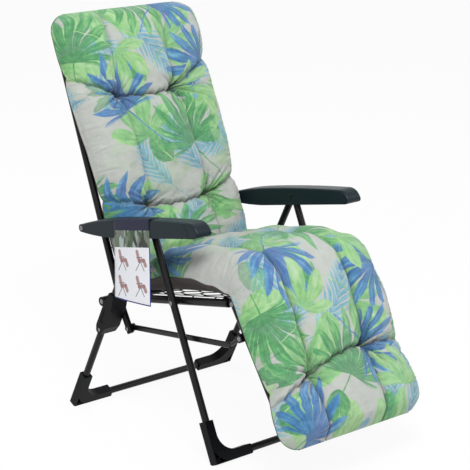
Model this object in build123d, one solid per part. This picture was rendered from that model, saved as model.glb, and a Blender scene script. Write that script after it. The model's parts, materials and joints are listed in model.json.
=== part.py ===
from build123d import *
import os
from math import asin, cos, degrees, pi, radians, sin

# Reclining garden armchair: a folding steel-tube frame with two moulded armrests and one
# long tufted cushion that runs over the back, the seat and the footrest.
# The sitter looks along -Y, +X is the sitter's left hand, +Z is up, and the feet stand on Z = 0.
# The side view is drawn from the seat pivot; every joint sits on one of two parallelograms:
# back, armrest, front leg and seat make the upper one, back, link, footrest and seat the lower.
# Lengths are millimetres, angles are degrees.

# Places and angles of the side view
seat_pivot_y = 464.0
seat_pivot_z = 352.0
seat_tilt = 11.6
back_angle = 21.4
front_leg_angle = 24.2
footrest_angle = 34.0
lower_back_angle = 30.0
seat_to_leg = 278.0
leg_above_seat = 212.0
seat_length = 500.0
bend_below_seat = 37.0
link_lever = 54.0
rear_floor_y = 611.0
rear_leg_offset = 26.6
lock_drop = 7.0
notch_count = 5
notch_angle = 5.0
rear_leg_ratio = -0.384

# Tubes and the planes that they lie in
tube_radius = 10.0
seat_tube_radius = 11.0
cross_tube_radius = 8.0
tube_wall = 1.2
frame_x = 230.0
leg_spacer_length = 6.0
lane_gap = 1.0
side_gap = 0.3
run_fit = 0.05
overrun = 40.0
top_corner_radius = 70.0
footrest_corner_radius = 60.0
leg_corner_radius = 45.0
lower_bend_radius = 60.0
floor_tube_height = 15.0

# Back frame
back_length = 772.0
back_tube_tail = 12.0
back_cross_place = 62.0
lug_thickness = 4.0
lug_radius = 11.0

# Seat frame
seat_rear_gap = 27.0
seat_front_gap = 22.0
seat_cross_rear = 48.0
seat_cross_front = 40.0
ear_thickness = 3.0
ear_radius = 11.0
ear_overlap = 30.0

# Footrest frame
footrest_length = 385.0
footrest_head = 12.0

# Leg frames
leg_head = 8.0
lock_neck = 13.0
lock_radius = 9.5
lock_stub = 25.0
notch_rise = 4.5
notch_gap = 0.6

# Rivets, plugs and caps
rivet_radius = 4.0
rivet_head_radius = 7.0
rivet_head_height = 2.5
small_rivet_radius = 2.5
small_head_radius = 5.0
small_head_height = 1.6
plug_depth = 3.5
plug_dome = 3.0
plug_round = 2.0
plug_trim = 1.0
dome_place_share = 0.75
dome_radius_share = 0.62

# Armrest
arm_wall = 3.0
arm_rib = 2.0
arm_length = 512.0
arm_rear_radius = 11.0
arm_top_height = 24.0
arm_front_height = 15.0
arm_bottom_depth = 27.0
arm_shoulder = 150.0
arm_nose_length = 34.0
arm_nose_drop = 10.0
arm_nose_tuck = 12.0
arm_edge_round = 7.0
arm_chin_round = 6.0
arm_cavity_start = 24.0
arm_front_wall = 25.0
arm_groove_setback = 56.0
arm_groove_width = 2.0
arm_groove_depth = 0.8
arm_groove_bow = 9.0
arm_chin_length_share = 0.2
arm_chin_depth_share = 0.8
arm_edge_share = 0.8

# Notch rack under each armrest
rack_margin = 16.0

# Link bars
link_height = 16.0
link_thickness = 8.0
link_eye_radius = 11.0
link_eye_thickness = 7.0
link_arm_radius = 4.5
link_bend_back = 46.0
link_bend_drop = 20.0

# Corner feet
foot_wall = 3.5
foot_leg_sleeve = 104.0
foot_floor_sleeve = 116.0
foot_inner_round = 52.0
foot_end_round = 5.0
foot_web = 3.0
foot_pocket = 33.0
foot_rib = 2.0

# Leg brackets
bracket_round = 5.0
bracket_cover = 3.0
bracket_wall = 3.0
bracket_top = 44.0
bracket_foot = 90.0
bracket_front = 15.0
bracket_rear = 12.0
bracket_ear_radius = 13.0
bracket_rivet_low = 84.0
bracket_recess = 1.2
bracket_recess_start = 12.0
bracket_recess_end = 56.0
bracket_recess_width = 14.0
bracket_toe_share = 0.85
bracket_heel_share = 0.7

# Wire nets and their hooks
net_wire = 3.0
net_side_gap = 26.0
net_cell_width = 54.0
net_cell_length = 38.0
net_lift = 9.0
cell_corner_share = 0.6
back_net_start = 95.0
back_net_margin = 37.0
seat_net_start = 66.0
seat_net_margin = 52.0
footrest_net_start = 34.0
footrest_net_margin = 33.0
hook_pitch = 86.0
hook_radius = 1.5

# Cushion: how far it reaches past the frames, and the thickness that its tables follow
pad_side_reach = 10.0
pad_height = 100.0
pad_flat_inset = 30.0
pad_side_bulge = 3.0
pad_gap = 0.3
back_pad_reach = 34.0
footrest_pad_reach = 25.0
pad_pitch = 34.0
pad_fan_reach = 200.0
tuft_x = 90.0
lobe_share = 0.56
crease_gap_angle = 0.5

# Hang card on the right armrest, bare
card_thickness = 0.6
card_gap = 0.4
card_start = 162.0
card_width = 158.0
card_drop_rear = 216.0
card_drop_front = 236.0
card_swing = 38.0
card_inner_flap = 15.0


def leaning(angle):
    """Unit vector that points up and leans back by an angle from the vertical."""
    return Vector(0, sin(radians(angle)), cos(radians(angle)))


def rising(angle):
    """Unit vector that points forward and climbs by an angle from the level."""
    return Vector(0, -cos(radians(angle)), sin(radians(angle)))


def at_x(x, point):
    """The side-view point moved out to the plane x."""
    return Vector(x, point.Y, point.Z)


def turned(vector, angle):
    """A side-view vector turned by an angle, positive where the back reclines."""
    c, s = cos(radians(angle)), sin(radians(angle))
    return Vector(0, vector.Y * c + vector.Z * s, vector.Z * c - vector.Y * s)


# Directions and joint points of the side view
back_up = leaning(back_angle)
back_front = rising(back_angle)
lower_back_up = leaning(lower_back_angle)
seat_fore = rising(seat_tilt)
seat_up = leaning(seat_tilt)
front_leg_up = leaning(front_leg_angle)
footrest_down = leaning(footrest_angle) * -1
footrest_front = rising(footrest_angle)

recline_point = Vector(0, seat_pivot_y, seat_pivot_z)
leg_point = recline_point + seat_fore * seat_to_leg
knee_point = recline_point + seat_fore * seat_length
arm_front_point = leg_point + front_leg_up * leg_above_seat
arm_rear_point = arm_front_point - seat_fore * seat_to_leg
bend_point = recline_point - back_up * bend_below_seat
link_rear_point = bend_point - lower_back_up * link_lever
link_front_point = knee_point + (link_rear_point - recline_point)
rear_floor_point = Vector(0, rear_floor_y, floor_tube_height)
pivot_from_floor = recline_point - rear_floor_point
rear_leg_turn = degrees(asin(rear_leg_offset / pivot_from_floor.length))
rear_leg_up = turned(pivot_from_floor.normalized(), -rear_leg_turn)
rear_leg_back = Vector(0, rear_leg_up.Z, -rear_leg_up.Y)
bracket_point = recline_point - rear_leg_back * rear_leg_offset
front_floor_point = leg_point - front_leg_up * ((leg_point.Z - floor_tube_height) / front_leg_up.Z)
lock_reach = -(lock_drop + (bracket_point - arm_rear_point).dot(seat_up)) / rear_leg_up.dot(seat_up)
lock_point = bracket_point + rear_leg_up * lock_reach

# Planes across the width, each worked out from the one inside it
front_leg_x = frame_x + seat_tube_radius + leg_spacer_length + tube_radius
arm_inner_x = front_leg_x - tube_radius - lane_gap - arm_wall
rib_x = front_leg_x + tube_radius + lane_gap
rear_leg_x = rib_x + arm_rib + lane_gap + tube_radius
arm_outer_x = rear_leg_x + tube_radius + lane_gap + arm_wall
lug_outer_x = arm_inner_x - side_gap
frame_inner_x = frame_x - tube_radius
frame_outer_x = frame_x + tube_radius
ear_outer_x = frame_inner_x - side_gap
bracket_inner_x = frame_x + seat_tube_radius + side_gap
bracket_outer_x = rear_leg_x + tube_radius + bracket_cover
link_lug_outer_x = frame_outer_x + lug_thickness / 2
link_front_x = link_lug_outer_x + side_gap + link_eye_thickness / 2
link_rear_x = frame_inner_x - side_gap - link_eye_thickness / 2

# Lengths that follow the frames
arm_nose_start = arm_length - arm_nose_length
arm_cavity_end = arm_length - arm_front_wall
arm_groove_place = arm_length - arm_groove_setback
back_net_end = back_length - back_net_margin
seat_net_end = seat_length - seat_net_margin
footrest_net_end = footrest_length - footrest_net_margin
pad_half_width = frame_x + pad_side_reach
pad_flat_half_width = frame_x - pad_flat_inset
back_pad_length = back_length + back_pad_reach
footrest_pad_length = footrest_length + footrest_pad_reach


def side_plane(x, point, along, normal):
    """Drawing plane in the side view: local x runs along, local y runs along normal."""
    return Plane(origin=at_x(x, point), x_dir=along, z_dir=along.cross(normal))


def between(sketch, x_from, x_to, point, along, normal):
    """A side-view sketch made solid between two planes across the width."""
    middle = (x_from + x_to) / 2
    plane = side_plane(middle, point, along, normal)
    return extrude(plane * sketch, amount=abs(x_to - x_from) / 2, both=True)


def barrel(x_from, x_to, point, radius):
    """Round bar along X between two planes."""
    plane = Plane(origin=at_x(x_from, point), x_dir=(0, 1, 0), z_dir=(1, 0, 0))
    return extrude(plane * Circle(radius), amount=x_to - x_from)


def swept(points, radii, radius):
    """Solid round bar along straight runs joined by arcs."""
    path = FilletPolyline(*points, radius=radii)
    section = Plane(origin=path @ 0, z_dir=path % 0) * Circle(radius)
    return sweep(section, path=path)


def bent_tube(points, radii, radius):
    """Hollow tube along straight runs joined by arcs."""
    path = FilletPolyline(*points, radius=radii)
    ring = Circle(radius) - Circle(radius - tube_wall)
    section = Plane(origin=path @ 0, z_dir=path % 0) * ring
    return sweep(section, path=path)


def straight_bar(start, end, radius):
    """Solid round bar between two points."""
    plane = Plane(origin=start, z_dir=end - start)
    return extrude(plane * Circle(radius), amount=(end - start).length)


def straight_tube(start, end, radius):
    """Hollow tube between two points."""
    plane = Plane(origin=start, z_dir=end - start)
    ring = Circle(radius) - Circle(radius - tube_wall)
    return extrude(plane * ring, amount=(end - start).length)


def mirrored(solid):
    """The same piece on the other side of the chair."""
    return mirror(solid, about=Plane.YZ)


def pair(solid):
    """A piece and its mirror image, as two separate solids."""
    return Compound(children=[solid, mirrored(solid)])


def cap_outline(place, side, head, height):
    """Half outline of a low dome on one end of a turned piece, as points and an arc."""
    tip = (place + side * height, 0)
    rim = (place, head)
    return tip, (place + side * height * dome_place_share, head * dome_radius_share), rim


def rivet(x_in, x_out, point, radius=rivet_radius, head=rivet_head_radius,
          height=rivet_head_height, inner_head=True, outer_head=True):
    """Round rivet along X with a low dome on each end that has a head."""
    inner, outer = (x_in, radius), (x_out, radius)
    lines = [Line(inner, outer)]
    start, end = (x_in, 0), (x_out, 0)
    if inner_head:
        start, bulge, rim = cap_outline(x_in, -1, head, height)
        lines += [ThreePointArc(start, bulge, rim), Line(rim, inner)]
    else:
        lines += [Line(start, inner)]
    if outer_head:
        end, bulge, rim = cap_outline(x_out, 1, head, height)
        lines += [ThreePointArc(end, bulge, rim), Line(rim, outer)]
    else:
        lines += [Line(end, outer)]
    lines += [Line(start, end)]
    plane = Plane(origin=point, x_dir=(1, 0, 0), z_dir=(0, -1, 0))
    return revolve(plane * make_face(lines), axis=Axis(point, (1, 0, 0)))


def tube_plug(end, outward, radius, trim=0.0):
    """Moulded plug in a tube's open end, with a rounded cap outside."""
    plane = Plane(origin=end, x_dir=(1, 0, 0), z_dir=outward)
    stem = extrude(plane * Circle(radius - tube_wall), amount=-plug_depth)
    cap = extrude(plane * Circle(radius - trim), amount=plug_dome)
    outer_edge = cap.edges().filter_by(GeomType.CIRCLE).sort_by(
        lambda edge: (edge.arc_center - end).dot(outward))[-1]
    return stem + fillet(outer_edge, plug_round)


# Steel frames
def seat_frame():
    """Two side tubes, two cross tubes and four flat ears that carry the pivots."""
    rear_end = recline_point + seat_fore * seat_rear_gap
    front_end = knee_point - seat_fore * seat_front_gap
    frame = None
    for side in (-1, 1):
        x = side * frame_x
        rail = straight_tube(at_x(x, rear_end), at_x(x, front_end), seat_tube_radius)
        rail -= barrel(*sorted((x - side * overrun, x + side * overrun)), leg_point, rivet_radius)
        frame = rail if frame is None else frame + rail
    reach = frame_x - seat_tube_radius + tube_wall
    for place in (seat_cross_rear, seat_length - seat_cross_front):
        spot = recline_point + seat_fore * place
        frame += straight_tube(at_x(-reach, spot), at_x(reach, spot), cross_tube_radius)
    for pivot, along, gap in ((recline_point, seat_fore, seat_rear_gap),
                              (knee_point, seat_fore * -1, seat_front_gap)):
        reach_in = gap + ear_overlap
        outline = Pos(reach_in / 2, 0) * SlotCenterToCenter(reach_in, 2 * ear_radius)
        outline -= Circle(rivet_radius + run_fit)
        for side in (-1, 1):
            outer = side * ear_outer_x
            frame += between(outline, outer - side * ear_thickness, outer, pivot, along, seat_up)
    return frame


def back_frame():
    """One tube bent to a tall arch, a cross tube, and a lug each side for the armrest."""
    tail = link_rear_point - lower_back_up * back_tube_tail
    top = recline_point + back_up * back_length
    stops = [at_x(-frame_x, tail), at_x(-frame_x, bend_point), at_x(-frame_x, top),
             at_x(frame_x, top), at_x(frame_x, bend_point), at_x(frame_x, tail)]
    radii = [lower_bend_radius, top_corner_radius, top_corner_radius, lower_bend_radius]
    frame = bent_tube(stops, radii, tube_radius)
    reach = frame_x - tube_radius + tube_wall
    spot = recline_point + back_up * back_cross_place
    frame += straight_tube(at_x(-reach, spot), at_x(reach, spot), cross_tube_radius)
    rise = (arm_rear_point - recline_point).dot(back_up)
    root = recline_point + back_up * rise
    offset = (arm_rear_point - root).length
    lug = Pos(offset / 2, 0) * SlotCenterToCenter(offset, 2 * lug_radius)
    lug -= Pos(offset, 0) * Circle(rivet_radius)
    along = (arm_rear_point - root).normalized()
    for side in (-1, 1):
        outer = side * lug_outer_x
        frame += between(lug, outer - side * lug_thickness, outer, root, along, back_up)
    for pivot in (recline_point, link_rear_point):
        frame -= barrel(-frame_x - tube_radius - side_gap, frame_x + tube_radius + side_gap,
                        pivot, rivet_radius)
    return frame


def footrest_frame():
    """One tube bent to a U, with a lug behind each side for the link bar."""
    top = knee_point - footrest_down * footrest_head
    low = knee_point + footrest_down * footrest_length
    stops = [at_x(-frame_x, top), at_x(-frame_x, low), at_x(frame_x, low), at_x(frame_x, top)]
    frame = bent_tube(stops, [footrest_corner_radius] * 2, tube_radius)
    drop = (link_front_point - knee_point).dot(footrest_down)
    root = knee_point + footrest_down * drop
    offset = (link_front_point - root).length
    lug = Pos(offset / 2, 0) * SlotCenterToCenter(offset, 2 * lug_radius)
    lug -= Pos(offset, 0) * Circle(rivet_radius)
    along = (link_front_point - root).normalized()
    for side in (-1, 1):
        outer = side * link_lug_outer_x
        frame += between(lug, outer - side * lug_thickness, outer, root, along, footrest_down)
    frame -= barrel(-frame_x - tube_radius, frame_x + tube_radius, knee_point, rivet_radius)
    return frame


def leg_path(x, top, floor_point):
    """Corner points of a leg frame: down one side, across the floor, up the other."""
    return [at_x(-x, top), at_x(-x, floor_point), at_x(x, floor_point), at_x(x, top)]


bracket_low_point = bracket_point - rear_leg_up * bracket_rivet_low
front_leg_top = arm_front_point + front_leg_up * leg_head
rear_leg_top = lock_point - rear_leg_up * lock_neck


def front_leg_frame():
    """U-shaped leg tube, drilled for the seat rivets and the armrest pins."""
    stops = leg_path(front_leg_x, front_leg_top, front_floor_point)
    frame = bent_tube(stops, [leg_corner_radius] * 2, tube_radius)
    reach = front_leg_x + overrun
    frame -= barrel(-reach, reach, leg_point, rivet_radius + run_fit)
    frame -= barrel(-reach, reach, arm_front_point, rivet_radius)
    return frame


def rear_leg_frame():
    """U-shaped leg tube, drilled for the lower bracket rivets."""
    stops = leg_path(rear_leg_x, rear_leg_top, rear_floor_point)
    frame = bent_tube(stops, [leg_corner_radius] * 2, tube_radius)
    reach = rear_leg_x + overrun
    return frame - barrel(-reach, reach, bracket_low_point, small_rivet_radius)


def lock_plugs():
    """Moulded leg-top plugs whose cross barrel runs under the armrest's notches."""
    stem = straight_bar(at_x(rear_leg_x, rear_leg_top - rear_leg_up * lock_stub),
                        at_x(rear_leg_x, lock_point), tube_radius - tube_wall)
    roller = barrel(rear_leg_x - tube_radius, rear_leg_x + tube_radius, lock_point, lock_radius)
    return pair(stem + roller)


# Corner feet
def corner_foot(x, floor_point, leg_up):
    """Moulded L-shaped shoe on a leg frame's corner, with a ribbed pocket behind its sharp tip."""
    half = tube_radius + foot_wall
    plane = Plane(origin=at_x(x, floor_point), x_dir=(1, 0, 0),
                  z_dir=Vector(1, 0, 0).cross(leg_up))
    outline = Polygon((half, -half), (half, foot_leg_sleeve), (-half, foot_leg_sleeve),
                      (-half, half), (-foot_floor_sleeve, half), (-foot_floor_sleeve, -half),
                      align=None)
    inner = outline.vertices().sort_by_distance((-half, half))[0]
    outline = fillet(inner, foot_inner_round)
    ends = outline.vertices().sort_by_distance((half, -half))[-2:]
    outline = fillet(ends, foot_end_round)
    shoe = extrude(plane * outline, amount=half, both=True)
    centre = (-leg_corner_radius, leg_corner_radius)
    bend = Pos(*centre) * Circle(leg_corner_radius + half)
    limit = half - foot_wall
    pocket = Polygon((limit, -limit), (limit, foot_pocket - limit), (limit - foot_pocket, -limit),
                     align=None) - bend
    rib = Rot(0, 0, -45) * Rectangle(4 * foot_pocket, foot_rib)
    pocket -= rib
    for side in (-1, 1):
        face = plane.offset(side * half)
        shoe -= extrude(face * pocket, amount=-side * (half - foot_web / 2))
    reach = foot_leg_sleeve + overrun
    core = swept([at_x(x, floor_point + leg_up * reach), at_x(x, floor_point),
                  at_x(-x, floor_point)], [leg_corner_radius], tube_radius)
    span = foot_leg_sleeve + foot_floor_sleeve
    below = Pos(x, floor_point.Y, -overrun) * Box(2 * span, span, 2 * overrun)
    return shoe - core - below


# Leg brackets
def bracket_outline(inset):
    """Side outline of the bracket: a long clamp on the leg, and an ear round the pivot."""
    core = Polygon((-bracket_foot, -bracket_front / 2), (-bracket_foot, bracket_rear / 2),
                   (-bracket_foot * bracket_toe_share, bracket_rear), (0, bracket_rear),
                   (bracket_top, bracket_rear / 2), (bracket_top, -bracket_rear / 2),
                   (0, -bracket_front), (-bracket_foot * bracket_heel_share, -bracket_front),
                   align=None)
    half = bracket_ear_radius / 2
    arm = Polygon((-half, 0), (-half, rear_leg_offset), (half, rear_leg_offset),
                  (bracket_ear_radius, 0), align=None)
    body = offset(core, amount=bracket_round - inset)
    ear = Pos(0, rear_leg_offset) * Circle(bracket_ear_radius - inset)
    return body + offset(arm, amount=(bracket_round - inset) / 2) + ear


def bracket_block(x_from, x_to, inset=0.0):
    """The bracket's outline made solid between two planes."""
    return between(bracket_outline(inset), x_from, x_to, bracket_point,
                   rear_leg_up, rear_leg_back)


def bracket_bores(block):
    """The block with its leg bore, its pivot hole and the hole of the rivet through the leg."""
    reach = bracket_foot + overrun
    block -= straight_bar(at_x(rear_leg_x, bracket_point - rear_leg_up * reach),
                          at_x(rear_leg_x, bracket_point + rear_leg_up * reach), tube_radius)
    block -= barrel(frame_x, bracket_outer_x + overrun, recline_point, rivet_radius + run_fit)
    return block - barrel(frame_x, bracket_outer_x + overrun, bracket_low_point,
                          small_rivet_radius)


def bracket_inner():
    """Inner shell: a hollow moulding with a bored hub that turns on the back frame's bolt."""
    block = bracket_block(bracket_inner_x, rear_leg_x)
    hollow = bracket_block(bracket_inner_x - overrun, rear_leg_x - tube_radius - bracket_wall,
                           2 * bracket_wall)
    for spot in (recline_point, bracket_low_point):
        hollow -= barrel(bracket_inner_x - overrun, rear_leg_x, spot, bracket_ear_radius)
    block -= hollow
    block += barrel(frame_outer_x + side_gap, bracket_inner_x, recline_point,
                    bracket_ear_radius)
    return bracket_bores(block)


def bracket_outer():
    """Outer shell: a cover with a shallow framed recess on its face."""
    block = bracket_block(rear_leg_x, bracket_outer_x)
    middle = (bracket_recess_start + bracket_recess_end) / 2
    length = bracket_recess_end - bracket_recess_start
    panel = Pos(-middle, 0) * RectangleRounded(length, bracket_recess_width, bracket_round)
    block -= between(panel, bracket_outer_x - bracket_recess, bracket_outer_x + overrun,
                     bracket_point, rear_leg_up, rear_leg_back)
    return bracket_bores(block)


# Armrests
def arm_roof(along):
    """Height of the cavity's roof over the pivot line, at a distance from the rear pivot."""
    fall = (arm_top_height - arm_front_height) / (arm_nose_start - arm_shoulder)
    return arm_top_height - arm_wall - (along - arm_shoulder) * fall


def arm_outline():
    """Side outline of the armrest about its rear pivot: slim tail, level body, rounded nose."""
    half = arm_rear_radius
    nose_low = arm_length - arm_nose_tuck
    rise = ThreePointArc((0, half), (arm_shoulder / 2, (half + arm_top_height) / 2 + arm_wall),
                         (arm_shoulder, arm_top_height))
    top = TangentArc((arm_shoulder, arm_top_height), (arm_nose_start, arm_front_height),
                     tangent=rise % 1)
    nose = TangentArc((arm_nose_start, arm_front_height), (arm_length, -arm_nose_drop),
                      tangent=top % 1)
    outline = make_face([
        ThreePointArc((0, -half), (-half, 0), (0, half)), rise, top, nose,
        ThreePointArc((arm_length, -arm_nose_drop),
                      (arm_length - arm_nose_tuck * arm_chin_length_share,
                       -arm_bottom_depth * arm_chin_depth_share),
                      (nose_low, -arm_bottom_depth)),
        Line((nose_low, -arm_bottom_depth), (arm_shoulder, -arm_bottom_depth)),
        ThreePointArc((arm_shoulder, -arm_bottom_depth),
                      (arm_shoulder / 2, -(half + arm_bottom_depth) / 2 - arm_wall),
                      (0, -half)),
    ])
    chin = outline.vertices().sort_by_distance((nose_low, -arm_bottom_depth))[0]
    return fillet(chin, arm_chin_round)


def arm_solid(sketch, x_from, x_to):
    """A sketch in armrest axes made solid between two planes."""
    return between(sketch, x_from, x_to, arm_rear_point, seat_fore, seat_up)


def armrest():
    """Left armrest: a moulded shell, open below, with a rib between its two leg lanes."""
    shell = arm_solid(arm_outline(), arm_inner_x, arm_outer_x)
    edges = [edge for edge in shell.edges()
             if abs(edge.tangent_at(0.5).X) < 0.5
             and (edge.center() - arm_rear_point).dot(seat_up) > arm_rear_radius * arm_edge_share]
    shell = fillet(edges, arm_edge_round)
    roof = arm_roof(arm_shoulder)
    tail = arm_rear_radius - arm_wall
    hollow = Polygon((arm_cavity_start, -overrun), (arm_cavity_start, tail),
                     (arm_shoulder, roof), (arm_nose_start, arm_roof(arm_nose_start)),
                     (arm_cavity_end, -arm_wall), (arm_cavity_end, -overrun), align=None)
    shell -= arm_solid(hollow, arm_inner_x + arm_wall, rib_x)
    shell -= arm_solid(hollow, rib_x + arm_rib, arm_outer_x - arm_wall)
    groove = crease_line()
    shell -= arm_solid(groove, arm_outer_x - arm_groove_depth, arm_outer_x + overrun)
    shell -= barrel(arm_inner_x - overrun, arm_outer_x + overrun, arm_rear_point,
                    rivet_radius + run_fit)
    return shell - barrel(arm_inner_x - overrun, rib_x + arm_rib, arm_front_point,
                          rivet_radius + run_fit)


def crease_line():
    """Thin bowed groove where the armrest's nose begins."""
    top = arm_front_height
    low = -arm_bottom_depth - arm_wall
    middle = (top + low) / 2
    start, end = arm_groove_place, arm_groove_place + arm_groove_bow * 2
    bulge = (start + end) / 2 + arm_groove_bow
    wide = arm_groove_width
    return make_face([
        ThreePointArc((start, top), (bulge, middle), (end, low)),
        Line((end, low), (end - wide, low)),
        ThreePointArc((end - wide, low), (bulge - wide, middle), (start - wide, top)),
        Line((start - wide, top), (start, top)),
    ])


def lock_path():
    """Places of the leg-top barrel in armrest axes, one for each notch."""
    places = []
    for step in range(notch_count):
        turn = step * notch_angle
        arm = recline_point + turned(arm_rear_point - recline_point, turn)
        top = recline_point + turned(lock_point - recline_point, rear_leg_ratio * turn)
        places.append(((top - arm).dot(seat_fore), (top - arm).dot(seat_up)))
    return places


def notch_rack():
    """Toothed bar under the armrest's roof, with one round notch for each position."""
    places = lock_path()
    first, last = places[0][0] - rack_margin, places[-1][0] + rack_margin
    teeth = max(height for along, height in places) + lock_radius + notch_gap
    bar = Polygon((first, teeth), (first, arm_roof(first)), (last, arm_roof(last)), (last, teeth),
                  align=None)
    for along, height in places:
        notch = Circle(lock_radius + notch_gap)
        bar -= Pos(along, teeth - lock_radius - notch_gap + notch_rise) * notch
    return arm_solid(bar, rib_x + arm_rib, arm_outer_x - arm_wall)


# Link bars
def link_bar():
    """Left link: a flat-sided bar with a rear eye, and a round arm bent up to its front eye."""
    rear = at_x(link_rear_x, link_rear_point)
    front = at_x(link_front_x, link_front_point)
    share = 1 - link_bend_back / seat_length
    knuckle_x = link_rear_x + (link_front_x - link_rear_x) * share
    knuckle_point = link_front_point - seat_fore * link_bend_back - seat_up * link_bend_drop
    knuckle = at_x(knuckle_x, knuckle_point)
    run = knuckle - rear
    section = Plane(origin=rear, x_dir=Vector(1, 0, 0).cross(run), z_dir=run)
    bar = extrude(section * SlotOverall(link_height, link_thickness), amount=run.length)
    bar += Pos(knuckle) * Sphere(link_thickness / 2)
    bar += straight_bar(knuckle, front, link_arm_radius)
    half = link_eye_thickness / 2
    for centre, x in ((link_rear_point, link_rear_x), (link_front_point, link_front_x)):
        bar -= beside_eye(x, half, centre)
        bar += barrel(x - half, x + half, centre, link_eye_radius)
        bar -= barrel(x - overrun, x + overrun, centre, rivet_radius + run_fit)
    return bar


def beside_eye(x, half, centre):
    """The room on both faces of an eye, where the bar must not stand proud of it."""
    inner = barrel(x - half - overrun, x - half, centre, link_eye_radius)
    return inner + barrel(x + half, x + half + overrun, centre, link_eye_radius)


# Wire nets
def net(start, end, lift, point, along, normal):
    """Flat net of long six-sided cells, one holed face between two frame tubes."""
    wide = 2 * (frame_x - net_side_gap)
    tall = end - start
    columns = int((wide - 2 * net_wire) // net_cell_width)
    rows = int((tall - 2 * net_wire) // net_cell_length)
    pitch_x = (wide - 2 * net_wire) / columns
    pitch_y = (tall - 2 * net_wire) / rows
    sheet = Rectangle(tall, wide)
    cells = []
    for row in range(rows):
        shift = pitch_x / 2 if row % 2 else 0
        count = columns - 1 if row % 2 else columns
        for column in range(count):
            across = (column + 0.5) * pitch_x + shift - (wide / 2 - net_wire)
            up = (row + 0.5) * pitch_y - (tall / 2 - net_wire)
            cells.append(Pos(up, across) * cell(pitch_x, pitch_y))
    sheet -= cells
    middle = point + along * ((start + end) / 2) + normal * lift
    plane = Plane(origin=middle, x_dir=along, z_dir=normal)
    return extrude(plane * sheet, amount=net_wire / 2, both=True)


def cell(pitch_x, pitch_y):
    """One six-sided gap of the net."""
    half_x = (pitch_x - net_wire) / 2
    half_y = (pitch_y - net_wire) / 2
    corner = half_x * cell_corner_share
    return Polygon((-half_y, corner), (0, half_x), (half_y, corner),
                   (half_y, -corner), (0, -half_x), (-half_y, -corner), align=None)


def net_hooks(start, end, lift, radius, point, along, normal):
    """Short wire hooks from the net's border to the frame tube, each side."""
    count = int((end - start) // hook_pitch)
    made = []
    edge = frame_x - net_side_gap
    span = 2 * overrun
    for step in range(count):
        place = start + (step + 0.5) * (end - start) / count
        spot = point + along * place
        inner = at_x(edge, spot + normal * lift)
        slope = (at_x(frame_x, spot) - inner).normalized()
        outer = at_x(frame_x, spot) - slope * radius
        hook = straight_bar(inner, outer, hook_radius) - Pos(spot) * Box(2 * edge, span, span)
        made += [hook, mirrored(hook)]
    return Compound(children=made)


# Cushion
# Each row of shares: place, half width, seam height, channel depth, crown, shoulder crest
back_shares = [
    (0.0, 0.95, 0.30, 0.74, 0.90, 0.84),
    (0.11, 1.0, 0.33, 0.88, 1.02, 0.98),
    (0.22, 1.0, 0.33, 0.84, 0.98, 0.94),
    (0.288, 0.985, 0.30, 0.46, 0.72, 0.70),
    (0.355, 1.0, 0.33, 0.82, 0.96, 0.93),
    (0.484, 1.04, 0.34, 0.86, 0.98, 0.95),
    (0.615, 1.07, 0.33, 0.82, 0.95, 0.92),
    (0.684, 1.07, 0.31, 0.46, 0.70, 0.68),
    (0.75, 1.055, 0.31, 0.76, 0.90, 0.82),
    (0.83, 1.09, 0.33, 0.84, 0.98, 0.92),
    (0.955, 1.09, 0.31, 0.72, 0.84, 0.78),
    (1.0, 1.0, 0.20, 0.30, 0.34, 0.32),
]
seat_shares = [
    (0.0, 0.95, 0.30, 0.74, 0.90, 0.84),
    (0.2, 0.985, 0.50, 1.06, 1.26, 1.20),
    (0.36, 0.995, 0.62, 1.20, 1.46, 1.40),
    (0.6, 1.0, 0.62, 1.20, 1.46, 1.40),
    (0.8, 1.015, 0.48, 1.12, 1.38, 1.32),
    (1.0, 1.0, 0.28, 0.90, 1.20, 1.12),
]
footrest_shares = [
    (0.0, 1.0, 0.28, 0.90, 1.20, 1.12),
    (0.12, 1.01, 0.27, 0.90, 1.18, 1.10),
    (0.3, 1.03, 0.26, 0.84, 1.10, 1.04),
    (0.44, 1.03, 0.25, 0.74, 0.94, 0.89),
    (0.537, 1.03, 0.25, 0.44, 0.70, 0.66),
    (0.62, 1.02, 0.25, 0.70, 0.86, 0.76),
    (0.78, 1.065, 0.26, 0.78, 0.92, 0.86),
    (0.92, 1.065, 0.25, 0.68, 0.82, 0.74),
    (1.0, 1.0, 0.20, 0.28, 0.36, 0.32),
]


def eased(table, share):
    """Row of a table at a share of the length, eased between its neighbours."""
    for before, after in zip(table, table[1:]):
        if share <= after[0]:
            part_way = (share - before[0]) / (after[0] - before[0])
            blend = (1 - cos(part_way * pi)) / 2
            return [low + (high - low) * blend for low, high in zip(before[1:], after[1:])]
    return list(table[-1][1:])


def pad_section(plane, stretch, row):
    """One closed section: flat underside, rounded sides, three stuffed lobes."""
    width, seam, groove, crown, shoulder = row
    side = width * pad_half_width
    floor = (net_lift + net_wire / 2 + pad_gap) * stretch
    seam, groove, crown, shoulder = (value * pad_height * stretch
                                     for value in (seam, groove, crown, shoulder))
    lobe = tuft_x + (side - tuft_x) * lobe_share
    flank = (pad_flat_half_width + side) / 2 + pad_side_bulge
    under = (floor + seam) / 2 - pad_side_bulge
    return plane * make_face([
        Line((-pad_flat_half_width, floor), (pad_flat_half_width, floor)),
        ThreePointArc((pad_flat_half_width, floor), (flank, under), (side, seam)),
        ThreePointArc((side, seam), (lobe, shoulder), (tuft_x, groove)),
        ThreePointArc((tuft_x, groove), (0, crown), (-tuft_x, groove)),
        ThreePointArc((-tuft_x, groove), (-lobe, shoulder), (-side, seam)),
        ThreePointArc((-side, seam), (-flank, under), (-pad_flat_half_width, floor)),
    ])


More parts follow.
